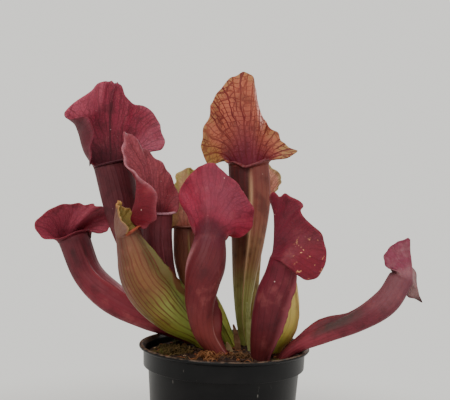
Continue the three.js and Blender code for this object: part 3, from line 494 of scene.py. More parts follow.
class Shader:
    """A short way to write a material's nodes."""

    def __init__(self, name):
        self.material = bpy.data.materials.new(name)
        self.material.use_nodes = True
        self.tree = self.material.node_tree
        self.out = self.tree.nodes["Principled BSDF"]
        self.place = self.node("TexCoord").outputs["Object"]

    def node(self, kind, *values, **named):
        """A new node. Names with a capital are its sockets, and the others its settings."""
        node = self.tree.nodes.new("ShaderNode" + kind)
        for key, value in named.items():
            if key[0].islower():
                setattr(node, key, value)
        for slot, value in enumerate(values):
            self.put(node.inputs[slot], value)
        self.fill(node, {key: value for key, value in named.items() if key[0].isupper()})
        return node

    def put(self, socket, value):
        if isinstance(value, bpy.types.NodeSocket):
            self.tree.links.new(value, socket)
        else:
            socket.default_value = value

    def fill(self, node, values):
        for key, value in values.items():
            self.put(node.inputs[key.replace("_", " ")], value)

    def math(self, how, a, b):
        return self.node("Math", a, b, operation=how).outputs[0]

    def times(self, value, *others):
        for other in others:
            value = self.math("MULTIPLY", value, other)
        return value

    def plus(self, a, b):
        return self.math("ADD", a, b)

    def vector(self, how, a, b):
        return self.node("VectorMath", a, b, operation=how).outputs[0]

    def part(self, vector, axis):
        return self.node("SeparateXYZ", vector).outputs[axis]

    def attribute(self, name, vector=False):
        return self.node("Attribute", attribute_name=name).outputs["Vector" if vector else "Fac"]

    def ramp(self, value, low, high):
        """0 below low, 1 above high, smooth between; low may be above high."""
        return self.node("MapRange", interpolation_type="SMOOTHSTEP", Value=value, From_Min=low,
                         From_Max=high, To_Min=0.0, To_Max=1.0).outputs[0]

    def between(self, amount, a, b):
        """The number a where amount is 0 and b where it is 1."""
        return self.node("MapRange", Value=amount, To_Min=a, To_Max=b).outputs[0]

    def mix(self, amount, a, b):
        """The colour a where amount is 0 and b where it is 1."""
        node = self.node("Mix", amount, data_type="RGBA")
        self.put(node.inputs[MIX_A], a)
        self.put(node.inputs[MIX_B], b)
        return node.outputs[MIX_RESULT]

    def noise(self, where, scale, detail=4.0, rough=0.55):
        return self.node("TexNoise", Vector=where, Scale=scale, Detail=detail, Roughness=rough).outputs[0]

    def stops(self, value, stops):
        """Colours as the eye sees them, each at its place, with soft steps between."""
        node = self.node("ValToRGB", value)
        ramp = node.color_ramp
        ramp.interpolation = "EASE"
        while len(ramp.elements) < len(stops):
            ramp.elements.new(0.5)
        for element, (place, color) in zip(ramp.elements, stops):
            element.position = place
            element.color = rgb(*color)
        return node.outputs[0]

    def cells(self, where, scale, feature="DISTANCE_TO_EDGE", out="Distance", jitter=1.0):
        node = self.node("TexVoronoi", feature=feature, Vector=where, Scale=scale, Randomness=jitter)
        return node.outputs[out]

    def specks(self, where, scale, size, rare, axis=0):
        """Small round specks in a few of the cells: over what size they fade, and how rare they are."""
        pick = self.part(self.cells(where, scale, "F1", "Color"), axis)
        return self.times(self.ramp(self.cells(where, scale, "F1"), *size), self.ramp(pick, *rare))

    def bump(self, height, distance, strength):
        return self.node("Bump", Strength=strength, Distance=distance, Height=height).outputs[0]

    def finish(self, color, rough, **more):
        self.fill(self.out, dict(Base_Color=color, Roughness=rough, **more))
        return self.material


def patch(u, du, at, reach, color, amount, face=None):
    """A spot of another colour round u, and along the leaf at that level."""
    return dict(u=u, du=du, at=at, reach=reach, color=rgb(*color), amount=amount, face=face)


def along_margin(u, du, edge, color, amount):
    """A spot of another colour round u, which reaches that far in from the margin."""
    return dict(u=u, du=du, edge=edge, color=rgb(*color), amount=amount, face=None)


# How each pitcher is coloured: the tube from soil to mouth, the hood's outer and inner faces, the
# inner face near the throat and how far that reaches, the margin, the lip, the wing, the veins with
# how strongly they show on tube, outer hood and inner hood, and spots of another colour, some of
# them painted shade and painted highlights. One leaf also has a dark colour of painted shade on one
# half of its tube.
PLAIN = dict(painted_shade_half=None, thick=1, room=1, ribs=VEINS, sway=1.5, rungs=None, flecks=False)
LOOKS = {
    "pitcher_tall_left": dict(PLAIN,
        tube=[(0, (96, 70, 44)), (0.22, (94, 36, 42)), (0.6, (86, 31, 37)), (1, (86, 33, 41))],
        outer=rgb(112, 34, 50), inner=rgb(132, 35, 56), throat=rgb(90, 24, 38), throat_to=1.6,
        edge=rgb(150, 62, 80), edge_mm=4, lip=rgb(74, 24, 36), wing=rgb(84, 33, 41), vein=rgb(56, 8, 18),
        net=(0.25, 0.5, 0.62), cell=2.2,
        spots=[patch(0.5, 0.013, 1.45, 0.5, (56, 10, 20), 0.75, "in"),
            # Next, a pale pink patch high on the inner hood: partly its own pink, partly a painted
            # highlight.
            patch(0.4, 0.06, 1.9, 0.2, (204, 94, 114), 0.6, "in"),
            patch(0.29, 0.1, 1.5, 0.6, (84, 14, 30), 0.8, "out"),
            along_margin(0.2, 0.012, 3.4, (52, 34, 36), 0.9),
            # Last, a pale pink strip on the right lobe's fold: partly its own pink, partly a painted
            # highlight.
            patch(0.77, 0.06, 1.75, 0.35, (166, 86, 104), 0.5, "in")]),
    "pitcher_far_left": dict(PLAIN,
        tube=[(0, (120, 84, 56)), (0.2, (120, 38, 48)), (0.55, (122, 35, 49)), (1, (100, 36, 46))],
        outer=rgb(124, 36, 52), inner=rgb(150, 56, 74), throat=rgb(130, 44, 60), throat_to=1.3,
        edge=rgb(150, 52, 66), edge_mm=3, lip=rgb(118, 36, 50), wing=rgb(140, 50, 58), vein=rgb(66, 10, 20),
        net=(0.22, 0.4, 0.4), cell=2.2,
        # The first spot is a darker band round the top of the tube, under the hood: painted shade.
        spots=[patch(0.5, 0.6, 0.95, 0.16, (76, 32, 38), 0.4, "out"),
            patch(0.07, 0.02, 0.9, 0.045, (50, 26, 28), 0.7, "out"),
            patch(0.99, 0.014, 0.92, 0.05, (56, 28, 30), 0.6, "out"),
            patch(0.76, 0.12, 1.55, 0.5, (204, 100, 120), 0.85, "in"),
            # Next, a dark crimson band beside the hood's fold: painted shade.
            patch(0.56, 0.05, 1.4, 0.4, (104, 28, 44), 0.5, "in"),
            along_margin(0.885, 0.014, 4, (54, 40, 34), 0.95)]),
    "pitcher_olive_front": dict(PLAIN,
        tube=[(0, (172, 186, 72)), (0.3, (156, 164, 64)), (0.46, (126, 110, 46)), (0.7, (110, 76, 42)),
            (1, (98, 62, 48))],
        outer=rgb(120, 86, 74), inner=rgb(142, 120, 56), throat=rgb(104, 92, 34), throat_to=1.5,
        edge=rgb(160, 126, 70), edge_mm=1, lip=rgb(150, 72, 50), wing=rgb(104, 104, 52),
        vein=rgb(100, 30, 28), net=(0.75, 0.35, 0.2), cell=2.6, thick=1.25,
        spots=[along_margin(0.02, 0.13, 2.0, (160, 70, 44), 0.6),
            along_margin(0.5, 0.1, 1.6, (176, 128, 66), 0.7),
            patch(0.11, 0.06, 0.82, 0.2, (150, 100, 64), 0.4, "out"),
            patch(0.38, 0.13, 0.92, 0.25, (114, 76, 74), 0.6, "out"),
            patch(0.02, 0.045, 0.68, 0.3, (104, 96, 54), 0.65, "out"),
            patch(0.06, 0.12, 0.34, 0.24, (158, 178, 92), 0.7, "out")]),
    "pitcher_mid_left": dict(PLAIN,
        tube=[(0, (126, 120, 60)), (0.3, (104, 48, 42)), (0.6, (100, 28, 36)), (1, (108, 36, 46))],
        outer=rgb(126, 28, 44), inner=rgb(146, 62, 72), throat=rgb(122, 48, 58), throat_to=1.3,
        edge=rgb(150, 76, 86), edge_mm=2, lip=rgb(172, 116, 128), wing=rgb(130, 60, 66),
        vein=rgb(80, 16, 26), net=(0.22, 0.3, 0.55), cell=2.0,
        spots=[patch(0.25, 0.09, 1.6, 0.5, (104, 20, 34), 0.85, "out"),
            along_margin(0.41, 0.07, 1.8, (192, 124, 134), 0.75),
            patch(0.76, 0.11, 1.6, 0.5, (124, 30, 44), 0.8, "in"),
            patch(0.95, 0.13, 0.75, 0.22, (138, 74, 84), 0.5, "out")]),
    "pitcher_olive_back": dict(PLAIN,
        tube=[(0, (200, 218, 104)), (0.25, (176, 186, 86)), (0.5, (128, 98, 56)), (0.75, (122, 72, 54)),
            (1, (116, 64, 52))],
        outer=rgb(160, 144, 78), inner=rgb(196, 140, 118), throat=rgb(204, 134, 118), throat_to=1.4,
        edge=rgb(182, 168, 92), edge_mm=7, lip=rgb(116, 68, 58), wing=rgb(140, 128, 80),
        vein=rgb(96, 36, 34), net=(0.3, 0.4, 0.4), cell=2.4,
        spots=[along_margin(0.31, 0.1, 11, (182, 160, 98), 0.85),
            along_margin(0.5, 0.14, 8, (176, 166, 88), 0.7)]),
    "pitcher_front": dict(PLAIN,
        tube=[(0, (122, 56, 52)), (0.25, (142, 66, 62)), (0.6, (96, 26, 32)), (0.85, (94, 28, 35)),
            (1, (96, 28, 42))],
        outer=rgb(150, 34, 58), inner=rgb(140, 34, 54), throat=rgb(90, 20, 34), throat_to=1.4,
        edge=rgb(172, 52, 72), edge_mm=2, lip=rgb(170, 96, 70), wing=rgb(104, 26, 38), vein=rgb(76, 12, 26),
        net=(0.2, 0.4, 0.5), cell=2.4,
        spots=[patch(0.5, 0.15, 1.7, 0.42, (134, 62, 80), 0.65, "out"),
            # Next, a dark band at the hood's foot on its outer face: painted shadow of the throat.
            patch(0.5, 0.3, 1.11, 0.16, (78, 16, 32), 0.85, "out"),
            # Next, a pale pink strip up one side of the tube's upper part: painted highlight.
            patch(0.74, 0.07, 0.72, 0.2, (196, 134, 138), 0.7, "out"),
            patch(0.055, 0.014, 0.42, 0.36, (206, 148, 146), 0.75, "out"),
            patch(0.2, 0.06, 1.7, 0.35, (136, 4, 22), 0.95, "out"),
            patch(0.74, 0.07, 1.65, 0.4, (168, 62, 84), 0.65, "out")]),
    "pitcher_right": dict(PLAIN,
        tube=[(0, (62, 34, 28)), (0.18, (92, 32, 34)), (0.5, (94, 27, 37)), (1, (102, 25, 41))],
        outer=rgb(106, 24, 42), inner=rgb(112, 26, 44), throat=rgb(80, 16, 28), throat_to=1.4,
        edge=rgb(134, 34, 52), edge_mm=2, lip=rgb(108, 26, 42), wing=rgb(150, 76, 84), vein=rgb(66, 10, 22),
        net=(0.3, 0.32, 0.4), cell=2.4, flecks=True,
        spots=[patch(0.3, 0.08, 1.78, 0.22, (128, 28, 44), 0.6, "out"),
            patch(0.5, 0.09, 1.1, 0.5, (104, 48, 60), 0.45, "out")]),
    "pitcher_short": dict(PLAIN,
        tube=[(0, (176, 184, 66)), (0.3, (196, 182, 82)), (0.7, (216, 190, 104)), (1, (176, 138, 80))],
        outer=rgb(160, 128, 82), inner=rgb(150, 104, 70), throat=rgb(120, 70, 50), throat_to=1.4,
        edge=rgb(176, 130, 90), edge_mm=2, lip=rgb(150, 90, 60), wing=rgb(184, 150, 96),
        vein=rgb(128, 62, 48), net=(0.25, 0.4, 0.4), cell=2.4,
        spots=[patch(0.24, 0.11, 0.36, 0.4, (190, 120, 60), 0.7, "out")]),
    "pitcher_tall_back": dict(PLAIN,
        tube=[(0, (156, 168, 92)), (0.28, (160, 166, 96)), (0.5, (150, 108, 72)), (0.75, (126, 66, 52)),
            (1, (114, 56, 48))],
        outer=rgb(172, 100, 70), inner=rgb(180, 98, 72), throat=rgb(118, 34, 52), throat_to=1.9,
        edge=rgb(160, 120, 72), edge_mm=7, lip=rgb(110, 52, 56), wing=rgb(214, 172, 130),
        # The dark colour that darkens one half of this tube is painted shade.
        vein=rgb(100, 18, 24), net=(0.3, 0.6, 1.0), cell=2.9, painted_shade_half=rgb(70, 26, 28), thick=1.8, room=1.5,
        ribs=22, sway=0.65, rungs=2.9,
        spots=[along_margin(0.605, 0.045, 6, (230, 168, 160), 0.85),
            patch(0.22, 0.08, 1.3, 0.16, (112, 48, 72), 0.55, "in"),
            patch(0.25, 0.07, 1.85, 0.3, (150, 114, 52), 0.75),
            patch(0.8, 0.06, 1.9, 0.25, (164, 132, 76), 0.7)]),
    "pitcher_small_back": dict(PLAIN,
        tube=[(0, (128, 132, 62)), (0.4, (138, 120, 66)), (1, (150, 90, 56))],
        outer=rgb(236, 176, 148), inner=rgb(252, 188, 162), throat=rgb(240, 158, 134), throat_to=1.4,
        edge=rgb(176, 178, 110), edge_mm=3.5, lip=rgb(150, 80, 50), wing=rgb(170, 130, 80),
        vein=rgb(132, 44, 38), net=(0.3, 0.7, 0.7), cell=2.2,
        spots=[]),
    "pitcher_far_right": dict(PLAIN,
        tube=[(0, (124, 52, 54)), (0.3, (136, 50, 62)), (0.7, (108, 40, 52)), (1, (106, 50, 62))],
        outer=rgb(164, 126, 126), inner=rgb(150, 56, 84), throat=rgb(110, 34, 52), throat_to=1.4,
        edge=rgb(100, 50, 58), edge_mm=1.5, lip=rgb(112, 56, 66), wing=rgb(130, 50, 62),
        vein=rgb(88, 24, 38), net=(0.12, 0.25, 0.4), cell=2.4,
        spots=[patch(0.67, 0.15, 1.7, 0.55, (126, 36, 66), 0.9),
            along_margin(0.272, 0.02, 2.5, (54, 42, 44), 0.9),
            patch(0.9, 0.1, 0.52, 0.17, (66, 50, 46), 0.9, "out"),
            patch(0.85, 0.2, 0.95, 0.2, (136, 88, 92), 0.45, "out")]),
}


def vein_lines(m, look):
    """Long veins that fork as the leaf widens, and the finer net between them, each 0 to 1."""
    front, side, spread = m.attribute("front"), m.attribute("side"), m.attribute("spread")
    flow, thick, ribs = m.attribute("flow", True), look["thick"], look["ribs"]
    turned = m.math("ARCTAN2", m.times(side, -1.0), m.times(front, -1.0))
    turn = m.math("DIVIDE", turned, 2 * math.pi)
    sway = m.math("SUBTRACT", m.noise(m.vector("MULTIPLY", flow, (1.0, 1.0, 0.4)), 0.09, 3.0, 0.45), 0.5)
    lines = None
    for k, width in enumerate((0.42, 0.34, 0.28, 0.22)):
        count = ribs * 2 ** k
        gap = m.times(spread, 2 * math.pi / count)
        bands = m.plus(m.times(turn, float(count)), m.times(sway, look["sway"] * (1 + k) ** 0.5))
        away = m.times(m.math("PINGPONG", bands, 0.5), gap)
        line = m.ramp(away, width * thick, width * thick * 0.35)
        if k:
            line = m.times(line, m.ramp(gap, 1.7 * look["room"], 2.4 * look["room"]))
        lines = line if lines is None else m.math("MAXIMUM", lines, line)
    if look["rungs"]:
        along = m.math("DIVIDE", m.part(flow, 2), look["rungs"])
        across = m.plus(m.times(turn, 2.0 * ribs), m.times(sway, look["sway"] * 2 ** 0.5))
        bent = m.plus(along, m.noise(m.place, 90.0, 1.0))
        grid = m.node("CombineXYZ", m.plus(across, 0.5), bent, 0.0).outputs[0]
        return lines, m.ramp(m.cells(grid, 1.0, jitter=0.5), 0.1, 0.03)
    warp = m.node("TexNoise", Vector=m.place, Scale=300.0, Detail=2.0).outputs[1]
    bent = m.vector("ADD", m.place, m.vector("MULTIPLY", warp, (0.0012, 0.0012, 0.0012)))
    return lines, m.ramp(m.cells(bent, 1000 / look["cell"]), 0.11 * thick, 0.03)


def leaf_material(name, look):
    m = Shader(name)
    level, left, inside = m.attribute("level"), m.attribute("left"), m.attribute("inside")
    front, side, wing = m.attribute("front"), m.attribute("side"), m.attribute("wing")
    on_hood = m.ramp(level, 0.97, 1.12)

    tube = m.stops(level, look["tube"])
    # One half of the tube, from a third of the way up, mixed towards a dark colour: painted shade.
    if look["painted_shade_half"]:
        shade = m.times(m.ramp(side, -0.03, 0.06), m.ramp(level, 0.3, 0.72), 0.92)
        tube = m.mix(shade, tube, look["painted_shade_half"])
    low = m.math("MAXIMUM", m.ramp(level, 1.35, 1.0), m.ramp(front, 0.0, 0.25))
    hood_out = m.mix(low, look["outer"], rgb(*look["tube"][-1][1]))
    hood_in = m.mix(m.ramp(level, look["throat_to"], 1.05), look["inner"], look["throat"])
    color = m.mix(inside, m.mix(on_hood, tube, hood_out), m.mix(on_hood, look["throat"], hood_in))

    # Broad blotches, the margin, the lip, the wing, and spots of another colour, some of them
    # painted shade and painted highlights.
    blotch = m.noise(m.place, 90.0, 5.0, 0.6)
    color = m.mix(m.ramp(blotch, 0.5, 0.68), color, m.mix(0.42, color, rgb(44, 14, 18)))
    color = m.mix(m.ramp(blotch, 0.46, 0.28), color, m.mix(0.12, color, rgb(224, 128, 122)))
    ragged = m.ramp(m.noise(m.place, 220.0, 3.0), 0.25, 0.6)
    rim = m.times(m.ramp(left, look["edge_mm"], 0.0), m.ramp(front, 0.35, 0.15), ragged, 0.75)
    color = m.mix(rim, color, look["edge"])
    lip = m.times(m.ramp(left, 2.4, 1.4), m.ramp(front, 0.2, 0.35), m.ramp(level, 0.98, 1.0))
    color = m.mix(lip, color, look["lip"])
    color = m.mix(m.times(wing, 0.85), color, look["wing"])
    for k, spot in enumerate(look["spots"]):
        shown = m.times(m.attribute(f"spot{k}"), m.plus(m.times(ragged, 0.35), 0.65), spot["amount"])
        color = m.mix(shown, color, spot["color"])

    lines, net = vein_lines(m, look)
    in_tube, out_hood, in_hood = look["net"]
    part = m.between(on_hood, in_tube, m.between(inside, out_hood, in_hood))
    uneven = m.plus(m.times(m.ramp(m.noise(m.place, 55.0, 2.0), 0.3, 0.62), 0.5), 0.5)
    fine_net = m.times(net, m.times(m.ramp(level, 0.9, 1.2), 0.8 if look["rungs"] else 0.62))
    veins = m.math("MAXIMUM", lines, fine_net)
    color = m.mix(m.times(veins, part, uneven), color, look["vein"])

    # A few pale specks of dust, and on one leaf cream flecks.
    speck = m.specks(m.place, 380.0, (0.16, 0.08), (0.975, 0.985))
    color = m.mix(m.times(speck, 0.7), color, rgb(226, 200, 190))
    if look["flecks"]:
        fleck = m.times(m.ramp(m.noise(m.place, 420.0, 3.0, 0.6), 0.62, 0.68), m.attribute("spot0"))
        color = m.mix(fleck, color, rgb(222, 160, 110))

    grain, swell = m.noise(m.place, 700.0, 4.0), m.noise(m.place, 130.0, 3.0)
    height = m.plus(m.times(veins, 0.5), m.plus(m.times(grain, 0.3), m.times(swell, 1.6)))
    return m.finish(color, m.plus(m.times(blotch, 0.2), 0.47), Normal=m.bump(height, 0.0003, 0.6),
                    Specular_IOR_Level=0.26, Subsurface_Weight=0.08, Subsurface_Scale=0.0015)


def pot_material():
    """Black plastic, with dust on what faces up, scuffs, specks and upright scratches."""
    m = Shader("pot_plastic")
    cloud = m.noise(m.place, 60.0, 4.0)
    long = m.vector("MULTIPLY", m.place, (500.0, 500.0, 130.0))
    scuff = m.ramp(m.noise(long, 1.0, 6.0, 0.75), 0.66, 0.72)
    up = m.part(m.node("NewGeometry").outputs["Normal"], 2)
    settled = m.times(m.ramp(up, 0.35, 0.9), m.ramp(m.noise(m.place, 350.0, 5.0), 0.35, 0.65))
    speck = m.specks(m.place, 300.0, (0.14, 0.07), (0.96, 0.98))
    upright = m.vector("MULTIPLY", m.place, (420.0, 420.0, 150.0))
    scratch = m.specks(upright, 1.0, (0.2, 0.08), (0.975, 0.985), axis=1)
    color = m.mix(m.times(m.ramp(cloud, 0.42, 0.75), 0.03), rgb(7, 7, 9), rgb(100, 96, 94))
    color = m.mix(m.times(settled, 0.85), color, rgb(120, 96, 78))
    color = m.mix(m.times(scuff, 0.16), color, rgb(150, 146, 140))
    color = m.mix(m.times(speck, 0.6), color, rgb(170, 150, 128))
    color = m.mix(m.times(scratch, 0.55), color, rgb(150, 146, 138))
    rough = m.plus(m.times(cloud, 0.16), m.plus(m.times(settled, 0.4), 0.3))
    normal = m.bump(m.noise(m.place, 900.0, 3.0), 0.00005, 0.5)
    return m.finish(color, rough, Normal=normal, Specular_IOR_Level=0.2)


def speckled_material(name, colors, scale, rough=0.9, depth=0.0004):
    """A rough natural stuff in several colours: peat, bark, fibre, moss, rootstock or dry leaf."""
    m = Shader(name)
    steps = [(0.28 + 0.44 * i / (len(colors) - 1), color) for i, color in enumerate(colors)]
    color = m.stops(m.noise(m.place, scale, 6.0, 0.65), steps)
    grain = m.noise(m.place, scale * 4, 5.0, 0.7)
    color = m.mix(m.ramp(grain, 0.55, 0.75), color, m.mix(0.35, color, rgb(20, 14, 10)))
    return m.finish(color, rough, Normal=m.bump(grain, depth, 0.8), Specular_IOR_Level=0.25)


# ---- leaves ---------------------------------------------------------------------------------------
def give(ob, material, node, stands_for=False):
    """Dress a piece, let it ride on the one body, and hide the solid it stands for, if it stands for one."""
    ob.data.materials.clear()
    ob.data.materials.append(material)
    if stands_for:
        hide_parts(node)
    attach(ob, "root")


def make_pitchers():
    made = {}
    for name, leaf in PITCHERS.items():
        ob, made[name] = build_pitcher(name, leaf)
        give(ob, leaf_material(name + "_skin", LOOKS[name]), name, True)
    return made


# How many hairs a hood has, how far a hood has to reach for them, their size, and their faces.
HAIRS, HAIRY_HOOD, HAIR_SEED = 90, 8, 11
HAIR_LONG, HAIR_R = (0.5, 0.9), 0.04
HAIR_FACES = [(0, 1, 3), (1, 2, 3), (2, 0, 3), (0, 2, 1)]


def make_hairs(sheets):
    """Short stiff hairs on the inner faces of the hoods, pointing down to the throat."""
    rng = np.random.default_rng(HAIR_SEED)
    points, faces = [], []
    for sheet in sheets.values():
        inner, normal, reach = sheet["inner"], sheet["normal"], sheet["left"][FINE_TUBE]
        for _ in range(HAIRS):
            i = int(rng.integers(FINE_TUBE + 6, FINE_TUBE + FINE_HOOD - 3))
            j = int(rng.integers(0, FINE_COLUMNS))
            if reach[j] < HAIRY_HOOD:
                continue
            root = inner[i, j]
            down = unit(inner[i - 4, j] - root)
            lean = unit(-normal[i, j] * 0.75 + down + rng.normal(0, 0.15, 3))
            across = unit(np.cross(lean, normal[i, j]))
            other = np.cross(lean, across)
            tip = root + lean * rng.uniform(*HAIR_LONG)
            turns = [2 * np.pi * k / 3 for k in range(3)]
            corners = [root + HAIR_R * (across * np.cos(turn) + other * np.sin(turn)) for turn in turns]
            pile(points, faces, corners + [tip], HAIR_FACES)
    ob = add_mesh("hood_hairs", points, faces, smooth=False)
    m = Shader("hair")
    color = m.mix(m.noise(m.place, 200.0), rgb(170, 104, 108), rgb(214, 176, 168))
    give(ob, m.finish(color, 0.5), "pitcher_tall_left")


BLADE_ROWS, BLADE_COLUMNS = 60, 14
BLADES = {
    "leaf_narrow": dict(
        spine=[[14.5, 3, 70], [13.9, 4, 80], [12.8, 5, 90.5], [11.5, 6.5, 101.5]],
        wide=[1.4, 1.9, 1.5, 0.45], thick=0.45, face=[0.25, -1, 0], fold=0.5,
        colors=[(112, 120, 62), (150, 152, 96), (182, 180, 130)]),
    "bract_dry": dict(
        spine=[[8, -0.8, 70], [7.2, -1.2, 78], [6, -2, 85.5], [4.4, -2.6, 91]],
        wide=[1.3, 1.7, 1.5, 0.5], thick=0.4, face=[0.1, -1, 0.1], fold=0.7,
        colors=[(84, 52, 34), (128, 92, 66), (160, 126, 98)]),
    "scale_dry": dict(
        spine=[[3.2, -2.2, 70], [2.9, -2.8, 75], [2.2, -3.8, 79], [1.2, -5.2, 82]],
        wide=[1.2, 1.8, 1.7, 0.5], thick=0.4, face=[0.2, -1, 0.3], fold=0.6,
        colors=[(186, 156, 104), (214, 188, 138), (232, 212, 170)]),
}


def make_blades():
    """Thin straplike blades folded along the middle: a narrow leaf and two dry remnants."""
    u = np.linspace(-1, 1, BLADE_COLUMNS)
    s = np.linspace(0, 1, BLADE_ROWS)
    for name, blade in BLADES.items():
        centre, _, out, side, _ = frames_along(blade["spine"], [blade["face"]] * 2, s)
        half = through(blade["wide"], s) * (1 + 0.06 * wobble(s * 0.8, len(name), **LONG_WAVES))
        fold = blade["fold"] * (np.abs(u)[None] ** 1.5) * half[:, None] * 0.5
        across = side[:, None] * (half[:, None] * u[None])[..., None]
        sheet = centre[:, None] + across + out[:, None] * fold[..., None]
        taper = np.sqrt(np.clip(1.02 - np.abs(u) ** 3, 0.02, 1))[None, :, None]
        thin = blade["thick"] * taper * out[:, None]
        loop = np.concatenate([sheet + thin / 2, (sheet - thin / 2)[:, ::-1]], axis=1)
        ob = add_mesh(name + "_blade", loop.reshape(-1, 3), grid_faces(BLADE_ROWS, 2 * BLADE_COLUMNS))
        give(ob, speckled_material(name + "_skin", blade["colors"], 260.0, 0.62, 0.0002), name, True)


# ---- the pot --------------------------------------------------------------------------------------
POT_OUTER = [
    (0, 0), (33.7, 0), (34.5, 0.8), (39.8, 68.6), (42.3, 69.2), (42.6, 77.6), (44.4, 78.4), (45, 79.2),
    (44.6, 80)]
POT_INNER = [(43.1, 80), (41.4, 78), (41.0, 70.3), (38.6, 69.2), (33.3, 1.6), (0, 1.6)]
POT_SEGMENTS = 160
DRAIN_RING, DRAIN_R, DRAINS = 24, 3, 8
DRAIN_MIDDLE, DRAIN_CUT = 0.8, 6


def softened(profile, radius=0.35, steps=4):
    """A profile whose inner corners are turned into short arcs."""
    profile = [np.array(p, float) for p in profile]
    points = [profile[0]]
    for before, corner, after in zip(profile, profile[1:], profile[2:]):
        reach = min(radius, 0.45 * np.linalg.norm(corner - before), 0.45 * np.linalg.norm(after - corner))
        start, end = corner + unit(before - corner) * reach, corner + unit(after - corner) * reach
        for t in np.linspace(0, 1, steps):
            points.append(start * (1 - t) ** 2 + corner * 2 * t * (1 - t) + end * t ** 2)
    return points + [profile[-1]]


def lathe(profile, segments):
    """A closed solid turned round the upright axis, from a profile that starts and ends on it."""
    body = profile[1:-1]
    points, faces = [(0, 0, profile[0][1]), (0, 0, profile[-1][1])], []
    turns = [2 * math.pi * k / segments for k in range(segments)]
    for r, z in body:
        points += [(r * math.cos(turn), r * math.sin(turn), z) for turn in turns]
    last = 2 + (len(body) - 1) * segments
    for k in range(segments):
        n = (k + 1) % segments
        faces += [(0, 2 + n, 2 + k), (1, last + k, last + n)]
        for a in range(2, last, segments):
            faces.append((a + k, a + n, a + segments + n, a + segments + k))
    return points, faces


def make_pot():
    ob = add_mesh("pot_shell", *lathe(softened(POT_OUTER + POT_INNER), POT_SEGMENTS))
    mesh = bmesh.new()
    for k in range(DRAINS):
        turn = 2 * math.pi * (k + 0.5) / DRAINS
        place = Vector((math.cos(turn) * DRAIN_RING, math.sin(turn) * DRAIN_RING, DRAIN_MIDDLE)) * MM
        bmesh.ops.create_cone(mesh, cap_ends=True, segments=32, radius1=DRAIN_R * MM, radius2=DRAIN_R * MM,
                              depth=DRAIN_CUT * MM, matrix=Matrix.Translation(place))
    drains = bpy.data.meshes.new("drains")
    mesh.to_mesh(drains)
    cutter = link("drains", drains)
    cut = ob.modifiers.new("drains", "BOOLEAN")
    cut.operation, cut.solver, cut.object = "DIFFERENCE", "EXACT", cutter
    done = bpy.data.meshes.new_from_object(ob.evaluated_get(bpy.context.evaluated_depsgraph_get()))
    ob.modifiers.clear()
    ob.data = done
    bpy.data.objects.remove(cutter)
    ob.data.set_sharp_from_angle(angle=math.radians(40))
    give(ob, pot_material(), "pot", True)


# ---- the peat and what lies on it -----------------------------------------------------------------
SOIL_TOP = [(0, 76.6), (17.25, 76.2), (34.5, 75.1), (40.8, 74.6)]
SOIL_WALL = [(40.6, 70.8), (38.25, 69.5), (33.0, 1.9)]
SOIL_RINGS, SOIL_AROUND = 110, 360
RIPPLES, RIPPLE_SEED = 260, 3


def soil_height(r):
    return np.interp(r, [p[0] for p in SOIL_TOP], [p[1] for p in SOIL_TOP])


def lumps(x, y):
    """Bumpy ground, about -1 to 1, from many small ripples in all directions."""
    rng = np.random.default_rng(RIPPLE_SEED)
    wave = np.exp(rng.uniform(math.log(0.12), math.log(1.6), RIPPLES))
    turn, start = rng.uniform(0, 2 * np.pi, RIPPLES), rng.uniform(0, 7, RIPPLES)
    across = np.multiply.outer(x, wave * np.cos(turn)) + np.multiply.outer(y, wave * np.sin(turn))
    return (np.sin(across * 2 * np.pi / 3 + start) / (1 + wave)).sum(-1) / math.sqrt(RIPPLES) * 1.6


def ground(x, y):
    """Where the peat's surface lies under a point or points."""
    r = np.hypot(x, y)
    return soil_height(r) + np.clip(lumps(x, y), -1.2, 2.2) * 0.75 * np.clip((41.2 - r) / 2, 0.3, 1)


def make_peat():
    r = np.linspace(0, 1, SOIL_RINGS + 1)[1:] ** 0.8 * SOIL_TOP[-1][0]
    turn = np.linspace(0, 2 * np.pi, SOIL_AROUND, endpoint=False)
    x, y = r[:, None] * np.cos(turn), r[:, None] * np.sin(turn)
    top = np.stack([x, y, ground(x, y)], -1)
    across, down = np.array(SOIL_WALL).T[:, :, None] * np.ones(SOIL_AROUND)
    wall = np.stack([across * np.cos(turn), across * np.sin(turn), down], -1)
    grid = np.concatenate([top, wall])
    ends = [[0, 0, SOIL_TOP[0][1]], [0, 0, SOIL_WALL[-1][1]]]
    points = np.concatenate([grid.reshape(-1, 3), ends])
    ob = add_mesh("peat", points, grid_faces(len(grid), SOIL_AROUND, fans=True))
    colors = [(22, 15, 13), (44, 30, 25), (66, 46, 36), (92, 66, 50)]
    give(ob, speckled_material("peat_stuff", colors, 330.0, 0.95, 0.0006), "growing_medium", True)


def lay(kind, points, faces, scale, rough, depth, smooth=True):
    """Lay a heap of small pieces on the peat as one piece."""
    ob = add_mesh(kind["name"], points, faces, smooth)
    material = speckled_material(kind["name"] + "_stuff", kind["colors"], scale, rough, depth)
    give(ob, material, "growing_medium")


def scatter(kinds, make_bit, scale, rough, depth, smooth=True):
    """Many small bits on the peat, one piece for each kind."""
    for kind in kinds:
        rng = np.random.default_rng(kind["seed"])
        points, faces = [], []
        for _ in range(kind["count"]):
            pile(points, faces, *make_bit(rng, kind))
        lay(kind, points, faces, scale, rough, depth, smooth)


def scatter_place(rng, reach):
    r, turn = reach * math.sqrt(rng.uniform()), rng.uniform(0, 2 * math.pi)
    return r * math.cos(turn), r * math.sin(turn)


